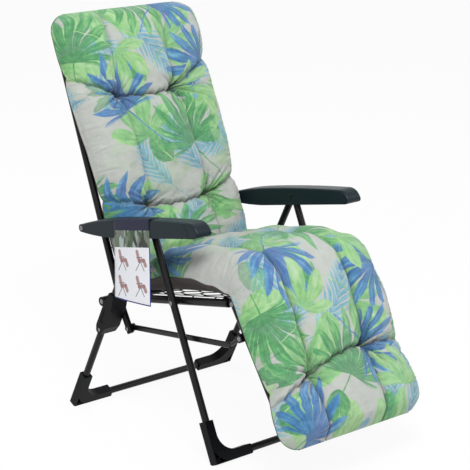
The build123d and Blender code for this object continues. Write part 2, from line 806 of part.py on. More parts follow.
def pad(point, along, normal, length, table, start_lean=0.0, end_lean=0.0):
    """Cushion length lofted through sections that fan round to meet the next length."""
    count = int(length // pad_pitch)
    sections = []
    for step in range(count + 1):
        place = step * length / count
        lean = start_lean * max(0, 1 - place / pad_fan_reach)
        lean += end_lean * max(0, 1 - (length - place) / pad_fan_reach)
        up = normal * cos(radians(lean)) + along * sin(radians(lean))
        plane = Plane(origin=point + along * place, x_dir=(1, 0, 0),
                      z_dir=Vector(1, 0, 0).cross(up))
        sections.append(pad_section(plane, 1 / cos(radians(lean)), eased(table, step / count)))
    return loft(sections, ruled=True)


# Leans of the end sections: half of each bend, less the room that the footrest rises into
crease_lean = (180 - back_up.get_angle(seat_fore) + crease_gap_angle) / 2
knee_room = (notch_count - 1) * notch_angle + crease_gap_angle
knee_lean = (seat_fore.get_angle(footrest_down) - knee_room) / 2


# Hang card
def hang_card():
    """Plain folded card over the right armrest: long outer leaf, top, short inner flap."""
    top = arm_top_height + card_gap + card_thickness
    slack = card_gap
    end = card_start + card_width
    down = seat_up * -1
    leaf = Polygon((card_start, top), (card_start - card_swing, top - card_drop_rear),
                   (end - card_swing, top - card_drop_front), (end, top), align=None)
    outer = between(leaf, -arm_outer_x - slack, -arm_outer_x - slack - card_thickness,
                    arm_rear_point, seat_fore, seat_up)
    lid = Pos((card_start + end) / 2, top - card_thickness / 2) * Rectangle(
        card_width, card_thickness)
    outer += between(lid, -arm_outer_x - slack - card_thickness,
                     -arm_inner_x + slack + card_thickness, arm_rear_point, seat_fore, seat_up)
    flap = Pos((card_start + end) / 2, top - card_inner_flap / 2) * Rectangle(
        card_width, card_inner_flap)
    outer += between(flap, -arm_inner_x + slack, -arm_inner_x + slack + card_thickness,
                     arm_rear_point, seat_fore, seat_up)
    return outer


def build():
    """Every node of the chair by name, in the side-view frame."""
    foot = corner_foot(front_leg_x, front_floor_point, front_leg_up)
    rear_foot = corner_foot(rear_leg_x, rear_floor_point, rear_leg_up)
    inner, outer = bracket_inner(), bracket_outer()
    arm, rack, link = armrest(), notch_rack(), link_bar()
    tail = link_rear_point - lower_back_up * back_tube_tail
    seat_ends = ((recline_point + seat_fore * seat_rear_gap, seat_fore * -1),
                 (knee_point - seat_fore * seat_front_gap, seat_fore))
    seat_plugs = []
    for end, outward in seat_ends:
        one = tube_plug(at_x(frame_x, end), outward, seat_tube_radius, plug_trim)
        seat_plugs += [one, mirrored(one)]
    footrest_top = knee_point - footrest_down * footrest_head
    return {
        "seat_frame": seat_frame(),
        "seat_net": net(seat_net_start, seat_net_end, net_lift, recline_point, seat_fore, seat_up),
        "seat_net_hooks": net_hooks(seat_net_start, seat_net_end, net_lift, seat_tube_radius,
                                    recline_point, seat_fore, seat_up),
        "seat_pad": pad(recline_point, seat_fore, seat_up, seat_length, seat_shares,
                        crease_lean, knee_lean),
        "seat_end_plugs": Compound(children=seat_plugs),
        "front_leg_rivets": pair(rivet(frame_x - seat_tube_radius, front_leg_x + tube_radius,
                                       leg_point)),
        "front_leg_spacers": pair(barrel(frame_x + seat_tube_radius,
                                         front_leg_x - tube_radius, leg_point,
                                         rivet_head_radius)
                                  - barrel(frame_x, front_leg_x, leg_point, rivet_radius)),
        "back_frame": back_frame(),
        "back_net": net(back_net_start, back_net_end, net_lift, recline_point, back_up, back_front),
        "back_net_hooks": net_hooks(back_net_start, back_net_end, net_lift, tube_radius,
                                    recline_point, back_up, back_front),
        "back_pad": pad(recline_point, back_up, back_front, back_pad_length, back_shares,
                        crease_lean),
        "back_end_plugs": pair(tube_plug(at_x(frame_x, tail), lower_back_up * -1, tube_radius)),
        "recline_bolts": pair(rivet(ear_outer_x - ear_thickness - side_gap,
                                    bracket_outer_x + side_gap, recline_point)),
        "armrest_rear_rivets": pair(rivet(lug_outer_x - lug_thickness, arm_outer_x + side_gap,
                                          arm_rear_point, inner_head=False)),
        "link_rear_rivets": pair(rivet(link_rear_x - link_eye_thickness / 2 - side_gap,
                                       frame_outer_x, link_rear_point)),
        "footrest_frame": footrest_frame(),
        "footrest_net": net(footrest_net_start, footrest_net_end, net_lift, knee_point,
                            footrest_down, footrest_front),
        "footrest_net_hooks": net_hooks(footrest_net_start, footrest_net_end, net_lift,
                                        tube_radius, knee_point, footrest_down, footrest_front),
        "footrest_pad": pad(knee_point, footrest_down, footrest_front, footrest_pad_length,
                            footrest_shares, -knee_lean),
        "footrest_end_plugs": pair(tube_plug(at_x(frame_x, footrest_top), footrest_down * -1,
                                             tube_radius)),
        "footrest_rivets": pair(rivet(ear_outer_x - ear_thickness - side_gap, frame_outer_x,
                                      knee_point)),
        "link_front_rivets": pair(rivet(link_lug_outer_x - lug_thickness,
                                        link_front_x + link_eye_thickness / 2 + side_gap,
                                        link_front_point, inner_head=False)),
        "front_leg_frame": front_leg_frame(),
        "front_foot_left": foot,
        "front_foot_right": mirrored(foot),
        "armrest_front_pins": pair(rivet(arm_inner_x - side_gap, rib_x + arm_rib,
                                         arm_front_point, outer_head=False)),
        "front_leg_plugs": pair(tube_plug(at_x(front_leg_x, front_leg_top), front_leg_up,
                                          tube_radius)),
        "rear_leg_frame": rear_leg_frame(),
        "rear_foot_left": rear_foot,
        "rear_foot_right": mirrored(rear_foot),
        "bracket_inner_left": inner,
        "bracket_inner_right": mirrored(inner),
        "bracket_outer_left": outer,
        "bracket_outer_right": mirrored(outer),
        "bracket_rivets": pair(rivet(bracket_inner_x, bracket_outer_x, bracket_low_point,
                                     small_rivet_radius, small_head_radius, small_head_height)),
        "lock_plugs": lock_plugs(),
        "armrest_left": arm,
        "armrest_right": mirrored(arm),
        "notch_rack_left": rack,
        "notch_rack_right": mirrored(rack),
        "hang_card": hang_card(),
        "link_left": link,
        "link_right": mirrored(link),
    }


nodes = build()
boxes = [solid.bounding_box() for solid in nodes.values()]
middle_y = (min(box.min.Y for box in boxes) + max(box.max.Y for box in boxes)) / 2
os.makedirs("parts", exist_ok=True)
for name, solid in nodes.items():
    export_step(Pos(0, -middle_y, 0) * solid, f"parts/{name}.step")
print("middle_y", middle_y)
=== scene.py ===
"""Looks of a reclining garden armchair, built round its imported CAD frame.

The steel tubes, the moulded armrests, feet and brackets keep their CAD shapes and get finishes.
The tufted cushion, the welded nets and the folded hang card are new surfaces, worked out with
numpy in the chair's own frame: metres, the sitter looks along -Y, +X is the sitter's left hand.
"""

import json
import logging
import math
from collections.abc import Sequence
from dataclasses import dataclass
from enum import Enum

import bmesh
import bpy
import numpy as np
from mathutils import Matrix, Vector

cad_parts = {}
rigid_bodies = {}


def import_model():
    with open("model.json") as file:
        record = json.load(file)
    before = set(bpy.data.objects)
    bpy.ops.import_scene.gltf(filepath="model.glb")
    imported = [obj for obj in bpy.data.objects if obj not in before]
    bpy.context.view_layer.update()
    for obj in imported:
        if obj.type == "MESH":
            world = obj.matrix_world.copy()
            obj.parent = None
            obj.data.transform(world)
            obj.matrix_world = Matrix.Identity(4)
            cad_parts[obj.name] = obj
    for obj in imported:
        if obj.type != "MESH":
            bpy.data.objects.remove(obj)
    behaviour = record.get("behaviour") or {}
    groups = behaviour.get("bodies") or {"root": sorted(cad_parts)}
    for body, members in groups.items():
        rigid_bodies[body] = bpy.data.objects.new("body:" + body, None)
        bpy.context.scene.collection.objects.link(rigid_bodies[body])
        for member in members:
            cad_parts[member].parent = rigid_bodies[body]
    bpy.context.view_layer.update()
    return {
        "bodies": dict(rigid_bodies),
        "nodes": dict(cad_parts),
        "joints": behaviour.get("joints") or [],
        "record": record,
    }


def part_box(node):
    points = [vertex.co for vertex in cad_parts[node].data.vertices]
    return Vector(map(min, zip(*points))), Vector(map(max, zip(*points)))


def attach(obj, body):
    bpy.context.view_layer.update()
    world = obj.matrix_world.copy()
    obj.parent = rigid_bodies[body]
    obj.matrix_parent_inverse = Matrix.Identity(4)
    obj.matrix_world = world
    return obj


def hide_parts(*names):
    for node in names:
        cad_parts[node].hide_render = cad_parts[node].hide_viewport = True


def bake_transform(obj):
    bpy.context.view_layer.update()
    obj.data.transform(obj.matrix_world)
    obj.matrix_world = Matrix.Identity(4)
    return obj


log = logging.getLogger("armchair")

Number = float | int
Colour = tuple[float, float, float]
Point = tuple[float, float, float]
Table = tuple[tuple[float, ...], ...]

ACROSS = np.array((1.0, 0.0, 0.0))
TUBE_RADIUS = 0.010
# Where the camera looks: X, how far in front of the recline joint, and Z
CAMERA_AIM = (0.1525, 0.0485, 0.4722)
PHOTO_PIXELS = 470
SENSOR_WIDTH = 36.0


# Side view of the chair


def unit(vector: np.ndarray) -> np.ndarray:
    """Return the vector at length one."""
    return vector / np.linalg.norm(vector)


def direction(y: float, z: float) -> np.ndarray:
    """Return the unit vector in the side view that points along (y, z)."""
    return unit(np.array((0.0, y, z)))


@dataclass(frozen=True)
class Run:
    """A straight run of the chair: the back, the seat or the footrest.

    Attributes:
        origin: Joint that the run starts from, on the chair's middle plane.
        along: Unit vector along the frame tubes.
        normal: Unit vector towards the sitter.
    """

    origin: np.ndarray
    along: np.ndarray
    normal: np.ndarray

    def at(self, across: np.ndarray, along: np.ndarray,
           height: np.ndarray | float) -> np.ndarray:
        """Place points given in the run's own axes.

        Args:
            across: Distances along X.
            along: Distances along the tubes.
            height: Distances above the tubes' plane.

        Returns:
            Points in the chair's frame, one more axis than the arguments.
        """
        across, along, height = np.broadcast_arrays(across, along, height)
        return (self.origin + across[..., None] * ACROSS + along[..., None] * self.along
                + height[..., None] * self.normal)


class Layout:
    """Joint places and directions of the chair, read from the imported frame.

    Attributes:
        seat: Run of the seat, from the recline joint to the knee.
        back: Run of the back, from the recline joint to the frame's top.
        footrest: Run of the footrest, from the knee to the frame's lower end.
        arm: Run of the armrests, from the height of their rear joints.
        seat_length: Distance from the recline joint to the knee.
    """

    def __init__(self, frame: dict) -> None:
        """Read the joints and the boxes of the two long frames.
        """
        places = {joint["name"]: np.array(joint.get("pos_m", (0, 0, 0)), float)
                  for joint in frame["joints"]}
        recline, knee = places["recline"], places["footrest_swing"]
        back_end = np.array(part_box("back_frame")[1]) - TUBE_RADIUS
        foot_end = np.array(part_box("footrest_frame")[0]) + TUBE_RADIUS
        seat_along = direction(*(knee - recline)[1:])
        back_along = direction(*(back_end - recline)[1:])
        foot_along = direction(*(foot_end - knee)[1:])
        self.seat = Run(recline, seat_along, direction(seat_along[2], -seat_along[1]))
        self.back = Run(recline, back_along, direction(-back_along[2], back_along[1]))
        self.footrest = Run(knee, foot_along, direction(foot_along[2], -foot_along[1]))
        self.arm = Run(places["armrest_left_swing"], seat_along, self.seat.normal)
        self.seat_length = float(np.linalg.norm(knee - recline))


# Meshes from arrays


def mesh_object(name: str, points: np.ndarray, faces: np.ndarray) -> bpy.types.Object:
    """Make an object from vertex and quad arrays.

    Args:
        name: Name of the object and its mesh.
        points: Vertices, any shape that ends in 3.
        faces: Vertex numbers of the quads, shape (count, 4).

    Returns:
        The new object, linked to the scene, smooth shaded.
    """
    mesh = bpy.data.meshes.new(name)
    mesh.from_pydata(points.reshape(-1, 3).tolist(), [], faces.tolist())
    mesh.polygons.foreach_set("use_smooth", np.ones(len(mesh.polygons), bool))
    mesh.update()
    made = bpy.data.objects.new(name, mesh)
    bpy.context.scene.collection.objects.link(made)
    return made


def grid_faces(rows: int, columns: int, wrap: bool = False) -> np.ndarray:
    """Number the quads of a grid of points.

    Args:
        rows: Points along the first axis.
        columns: Points along the second axis.
        wrap: Whether the last column joins the first.

    Returns:
        Vertex numbers, shape (count, 4).
    """
    across = np.arange(columns if wrap else columns - 1)
    row, column = np.meshgrid(np.arange(rows - 1), across, indexing="ij")
    start, right = row * columns, (column + 1) % columns
    quads = (start + column, start + right, start + columns + right, start + columns + column)
    return np.stack(quads, -1).reshape(-1, 4)


def set_uv(made: bpy.types.Object, coordinates: np.ndarray) -> None:
    """Give a mesh a UV map with one coordinate per vertex, in metres.

    Args:
        made: The object.
        coordinates: Array of shape (vertices, 2).
    """
    mesh = made.data
    corner = np.empty(len(mesh.loops), np.int32)
    mesh.loops.foreach_get("vertex_index", corner)
    layer = mesh.uv_layers.new(name="Cloth")
    layer.data.foreach_set("uv", coordinates.reshape(-1, 2)[corner].astype(np.float32).ravel())


def set_attribute(made: bpy.types.Object, name: str, values: np.ndarray) -> None:
    """Give a mesh one number per vertex under a name."""
    layer = made.data.attributes.new(name, "FLOAT", "POINT")
    layer.data.foreach_set("value", values.astype(np.float32).ravel())


def face_outwards(made: bpy.types.Object, merge: float) -> None:
    """Merge a closed mesh's doubled points and turn its faces outwards.

    Args:
        made: The object.
        merge: Distance under which points are merged.
    """
    work = bmesh.new()
    work.from_mesh(made.data)
    bmesh.ops.remove_doubles(work, verts=work.verts, dist=merge)
    bmesh.ops.dissolve_degenerate(work, edges=work.edges, dist=merge / 2)
    bmesh.ops.recalc_face_normals(work, faces=work.faces)
    if work.calc_volume(signed=True) < 0:
        bmesh.ops.reverse_faces(work, faces=work.faces)
    work.to_mesh(made.data)
    work.free()
    made.data.update()


def wires(name: str, paths: Sequence[np.ndarray], normal: np.ndarray, radius: float,
          sides: int = 6) -> bpy.types.Object:
    """Carry a circle along polylines: each ring stands square to its path's local direction.

    Args:
        name: Name of the object.
        paths: Polylines, each of shape (count, 3).
        normal: A unit vector that no path runs along.
        radius: Radius of the wire.
        sides: Faces round the wire.

    Returns:
        One object that holds all the wires, with closed ends.
    """
    turn = np.linspace(0, math.tau, sides, endpoint=False)[None, :, None]
    all_points, all_faces, start = [], [], 0
    for path in paths:
        tangent = np.gradient(path, axis=0)
        tangent /= np.linalg.norm(tangent, axis=1, keepdims=True)
        first = np.cross(tangent, normal)
        first /= np.linalg.norm(first, axis=1, keepdims=True)
        second = np.cross(first, tangent)
        ring = (path[:, None] + radius * np.cos(turn) * first[:, None]
                + radius * np.sin(turn) * second[:, None])
        ring = np.concatenate((np.repeat(path[:1, None], sides, 1), ring,
                               np.repeat(path[-1:, None], sides, 1)))
        all_points.append(ring.reshape(-1, 3))
        all_faces.append(grid_faces(len(ring), sides, wrap=True) + start)
        start += ring.shape[0] * sides
    made = mesh_object(name, np.concatenate(all_points), np.concatenate(all_faces))
    face_outwards(made, radius * 0.02)
    return made


def eased(table: Table, place: np.ndarray) -> np.ndarray:
    """Interpolate a table's columns, with a cosine blend between rows.

    Args:
        table: Rows whose first number is the place.
        place: Places to read at.

    Returns:
        The other columns at each place, shape (columns, places).
    """
    rows = np.array(table)
    index = np.clip(np.searchsorted(rows[:, 0], place, side="right") - 1, 0, len(rows) - 2)
    low, high = rows[index], rows[index + 1]
    share = np.clip((place - low[:, 0]) / (high[:, 0] - low[:, 0]), 0, 1)
    blend = (1 - np.cos(math.pi * share)) / 2
    return (low + (high - low) * blend[:, None])[:, 1:].T


def bell(distance: np.ndarray, width: float) -> np.ndarray:
    """Return the bell curve exp(-(distance / width) squared)."""
    return np.exp(-np.square(distance / width))


# Shader graphs


class Wire:
    """A node's output socket, with arithmetic that adds Math nodes."""

    def __init__(self, graph: "Graph", socket: bpy.types.NodeSocket) -> None:
        """Hold the socket and the graph that it belongs to."""
        self.graph = graph
        self.socket = socket

    def math(self, operation: str, *others: "Wire | Number") -> "Wire":
        """Add a Math node.

        Args:
            operation: Name of the Math operation.
            others: Its second and third inputs.

        Returns:
            The node's output.
        """
        return self.graph.node("ShaderNodeMath", {"operation": operation}, (self, *others))

    def __add__(self, other: "Wire | Number") -> "Wire":
        """Add."""
        return self.math("ADD", other)

    def __radd__(self, other: Number) -> "Wire":
        """Add, with the number first."""
        return self.math("ADD", other)

    def __sub__(self, other: "Wire | Number") -> "Wire":
        """Subtract."""
        return self.math("SUBTRACT", other)

    def __rsub__(self, other: Number) -> "Wire":
        """Subtract from a number."""
        return self.graph.node("ShaderNodeMath", {"operation": "SUBTRACT"}, (other, self))

    def __mul__(self, other: "Wire | Number") -> "Wire":
        """Multiply."""
        return self.math("MULTIPLY", other)

    def __rmul__(self, other: Number) -> "Wire":
        """Multiply, with the number first."""
        return self.math("MULTIPLY", other)

    def __truediv__(self, other: "Wire | Number") -> "Wire":
        """Divide."""
        return self.math("DIVIDE", other)

    def __pow__(self, other: Number) -> "Wire":
        """Raise to a power."""
        return self.math("POWER", other)

    def __abs__(self) -> "Wire":
        """Take the size."""
        return self.math("ABSOLUTE")

    def step(self, softness: float) -> "Wire":
        """Rise smoothly from 0 below zero to 1 past a small value.

        Args:
            softness: That value.

        Returns:
            The stepped value.
        """
        return self.graph.node(
            "ShaderNodeMapRange", {"interpolation_type": "SMOOTHSTEP"},
            {"Value": self, "From Min": 0.0, "From Max": softness, "To Min": 0.0, "To Max": 1.0})


class Graph:
    """Node tree of a material or of the world."""

    def __init__(self, tree: bpy.types.NodeTree) -> None:
        """Hold the tree."""
        self.tree = tree

    def node(self, kind: str, settings: dict | None = None,
             inputs: Sequence | dict | None = None, output: int | str = 0) -> Wire:
        """Add a node.

        Args:
            kind: Blender's name of the node type.
            settings: Values of the node's own settings, such as a Math operation.
            inputs: Values or wires of its input sockets, in order or by name.
            output: Which output to return.

        Returns:
            The chosen output.
        """
        made = self.tree.nodes.new(kind)
        for key, value in (settings or {}).items():
            setattr(made, key, value)
        pairs = inputs.items() if isinstance(inputs, dict) else enumerate(inputs or ())
        for key, value in pairs:
            if isinstance(value, Wire):
                self.tree.links.new(value.socket, made.inputs[key])
            elif value is not None:
                made.inputs[key].default_value = value
        return Wire(self, made.outputs[output])

    def ramp(self, value: Wire, stops: Sequence[tuple[float, Colour]]) -> Wire:
        """Colour a value by a ramp.

        Args:
            value: The value, from 0 to 1.
            stops: Place and colour of each stop.

        Returns:
            The colour.
        """
        made = self.node("ShaderNodeValToRGB", inputs=(value,))
        ramp = made.socket.node.color_ramp
        while len(ramp.elements) < len(stops):
            ramp.elements.new(1.0)
        for element, (place, colour) in zip(ramp.elements, stops):
            element.position = place
            element.color = (*colour, 1.0)
        return made

    def mix(self, share: Wire | Number, low: "Wire | Colour", high: "Wire | Colour") -> Wire:
        """Blend two colours by a share."""
        low, high = (value if isinstance(value, Wire) else (*value, 1.0) for value in (low, high))
        return self.node("ShaderNodeMix", {"data_type": "RGBA"}, {0: share, 6: low, 7: high}, 2)

    def coordinates(self, output: str = "Object") -> Wire:
        """Return the texture coordinates of one kind."""
        return self.node("ShaderNodeTexCoord", output=output)

    def split(self, vector: Wire) -> tuple[Wire, Wire, Wire]:
        """Return a vector's three parts."""
        parts = self.node("ShaderNodeSeparateXYZ", inputs=(vector,))
        return tuple(Wire(self, socket) for socket in parts.socket.node.outputs)

    def join(self, x: Wire | Number, y: Wire | Number, z: Wire | Number = 0.0) -> Wire:
        """Make a vector from three parts."""
        return self.node("ShaderNodeCombineXYZ", inputs=(x, y, z))

    def noise(self, vector: Wire, scale: float, detail: float = 2.0,
              roughness: float = 0.5) -> Wire:
        """Return smooth noise between 0 and 1."""
        return self.node("ShaderNodeTexNoise", inputs={
            "Vector": vector, "Scale": scale, "Detail": detail, "Roughness": roughness})

    def bump(self, height: Wire, distance: float, strength: float = 1.0) -> Wire:
        """Return a normal from a height between 0 and 1."""
        return self.node("ShaderNodeBump", inputs={
            "Strength": strength, "Distance": distance, "Height": height})

    def threads(self, x: Wire, y: Wire, pitch: float) -> Wire:
        """Return the height of a plain weave: the warp's sine times the weft's."""
        warp, weft = ((place * (math.tau / pitch)).math("SINE") for place in (x, y))
        return warp * weft

    def seen(self) -> Wire:
        """Tell what is seen from what only lights the scene.

        Returns:
            1 for what the camera sees, also in metal and through glass, and 0 for other light.
        """
        camera, glossy, glass = (
            self.node("ShaderNodeLightPath", output=f"Is {ray} Ray")
            for ray in ("Camera", "Glossy", "Transmission"))
        return camera.math("MAXIMUM", glossy).math("MAXIMUM", glass)

    def show(self, share: Wire, low: Wire, high: Wire, output: str) -> None:
        """Blend two shaders by a share and feed the output node of that name."""
        both = self.node("ShaderNodeMixShader", inputs=(share, low, high))
        self.tree.links.new(both.socket, self.tree.nodes[output].inputs["Surface"])


class SurfaceGraph(Graph):
    """Node tree of one material, with a Principled shader."""

    def __init__(self, name: str) -> None:
        """Make the material and its shader.

        Args:
            name: Name of the material.
        """
        self.material = bpy.data.materials.new(name)
        self.material.use_nodes = True
        super().__init__(self.material.node_tree)
        self.shader = self.tree.nodes["Principled BSDF"]

    def finish(self, colour: "Wire | Colour", roughness: "Wire | Number",
               normal: Wire | None = None, **values: Number) -> bpy.types.Material:
        """Feed the shader.

        Args:
            colour: Base colour.
            roughness: Roughness.
            normal: Normal, or None for the surface's own.
            values: Constant inputs of the shader, with underscores for blanks.

        Returns:
            The finished material.
        """
        feeds = {"Base Color": colour, "Roughness": roughness, "Normal": normal}
        for key, value in feeds.items():
            if isinstance(value, Wire):
                self.tree.links.new(value.socket, self.shader.inputs[key])
            elif value is not None:
                self.shader.inputs[key].default_value = (
                    (*value, 1.0) if isinstance(value, tuple) else value)
        for key, value in values.items():
            title = key.replace("_", " ").title().replace("Ior", "IOR")
            self.shader.inputs[title].default_value = value
        return self.material


# Finishes


@dataclass(frozen=True)
class PowderCoat:
    """Black satin powder coat on steel: a fine orange peel and faint dust.

    Attributes:
        name: Name of the material.
        colour: Colour of the coat.
        dust: Colour of the dust on it.
        gloss_low: Roughness of the smoothest places.
        gloss_high: Roughness of the dullest places.
        peel: Bumps of the orange peel per metre.
        peel_depth: Their depth, in metres.
        shine: Specular level.
    """

    name: str = "black_powder_coat"
    colour: Colour = (0.006, 0.006, 0.007)
    dust: Colour = (0.05, 0.05, 0.052)
    gloss_low: float = 0.18
    gloss_high: float = 0.34
    peel: float = 900.0
    peel_depth: float = 0.00012
    shine: float = 0.22

    def build(self) -> bpy.types.Material:
        """Build the node graph.

        Returns:
            The material.
        """
        graph = SurfaceGraph(self.name)
        place = graph.coordinates()
        cloud = graph.noise(place, 14.0, 3.0)
        peel = graph.noise(place, self.peel, 1.0)
        dusty = (cloud - 0.55).step(0.3)
        colour = graph.mix(dusty * 0.12, self.colour, self.dust)
        rough = self.gloss_low + (self.gloss_high - self.gloss_low) * cloud
        return graph.finish(colour, rough, graph.bump(peel, self.peel_depth, 0.5),
                            specular_ior_level=self.shine)


@dataclass(frozen=True)
class MouldedPlastic:
    """Dark slate moulded plastic: fine spark-eroded grain, a soft sheen, paler scuffs from
    handling strewn at random.

    Attributes:
        name: Name of the material.
        colour: Colour of the plastic.
        worn: Colour of its scuffed places.
        grain: Size of one grain, in metres.
        grain_depth: Depth of the grain, in metres.
        roughness: Mean roughness.
        shine: Specular level.
    """

    name: str = "slate_plastic"
    colour: Colour = (0.006, 0.014, 0.019)
    worn: Colour = (0.030, 0.036, 0.043)
    grain: float = 0.0009
    grain_depth: float = 0.00018
    roughness: float = 0.38
    shine: float = 0.17

    def build(self) -> bpy.types.Material:
        """Build the node graph.

        Returns:
            The material.
        """
        graph = SurfaceGraph(self.name)
        place = graph.coordinates()
        grain = graph.noise(place, 1 / self.grain, 2.0, 0.6)
        cloud = graph.noise(place, 9.0, 3.0)
        scuff = (graph.noise(place, 60.0, 4.0, 0.7) - 0.62).step(0.12)
        colour = graph.mix(scuff * 0.25 + cloud * 0.1, self.colour, self.worn)
        rough = self.roughness - 0.08 + 0.16 * cloud
        return graph.finish(colour, rough, graph.bump(grain, self.grain_depth, 0.6),
                            specular_ior_level=self.shine)


@dataclass(frozen=True)
class RivetSteel:
    """Dark zinc-plated rivets with a turned sheen.

    Attributes:
        name: Name of the material.
        colour: Colour of the metal's dark places.
        bright: Colour of its turned places.
    """

    name: str = "rivet_steel"
    colour: Colour = (0.16, 0.16, 0.17)
    bright: Colour = (0.32, 0.32, 0.33)

    def build(self) -> bpy.types.Material:
        """Build the node graph.

        Returns:
            The material.
        """
        graph = SurfaceGraph(self.name)
        cloud = graph.noise(graph.coordinates(), 260.0, 2.0)
        colour = graph.mix(cloud, self.colour, self.bright)
        return graph.finish(colour, 0.28 + 0.2 * cloud, metallic=1.0)


class Motif(Enum):
    """Leaf shapes of the printed cloth."""

    FAN = "fan of many narrow fingers"
    BLADE = "fan of a few broad fingers"
    FEATHER = "feather of slanting leaflets"
    OVAL = "broad leaf with a rib"


FINGERS = {Motif.FAN: 17, Motif.BLADE: 8}


@dataclass(frozen=True)
class LeafLayer:
    """One layer of leaves that repeats over the cloth in jittered cells.

    Attributes:
        motif: Shape of the leaf.
        cell: Distance between leaves, in metres.
        reach: Half the leaf's length, in metres.
        offset: Shift of the layer's cells, in metres.
        deep: Colour of the leaf's darker parts.
        light: Colour of its lighter parts.
        tip: Colour where the paint runs thin.
        share: Share of the cells that hold a leaf.
    """

    motif: Motif
    cell: float
    reach: float
    offset: tuple[float, float]
    deep: Colour
    light: Colour
    tip: Colour
    share: float = 1.0


BLUE = ((0.016, 0.085, 0.29), (0.055, 0.200, 0.44), (0.20, 0.43, 0.60))
TEAL = ((0.09, 0.27, 0.38), (0.20, 0.44, 0.53), (0.36, 0.54, 0.57))
GREEN = ((0.035, 0.19, 0.080), (0.085, 0.34, 0.12), (0.30, 0.56, 0.22))
LIME = ((0.10, 0.34, 0.12), (0.25, 0.52, 0.20), (0.44, 0.62, 0.36))
SPRING = ((0.17, 0.42, 0.14), (0.33, 0.56, 0.24), (0.45, 0.58, 0.40))


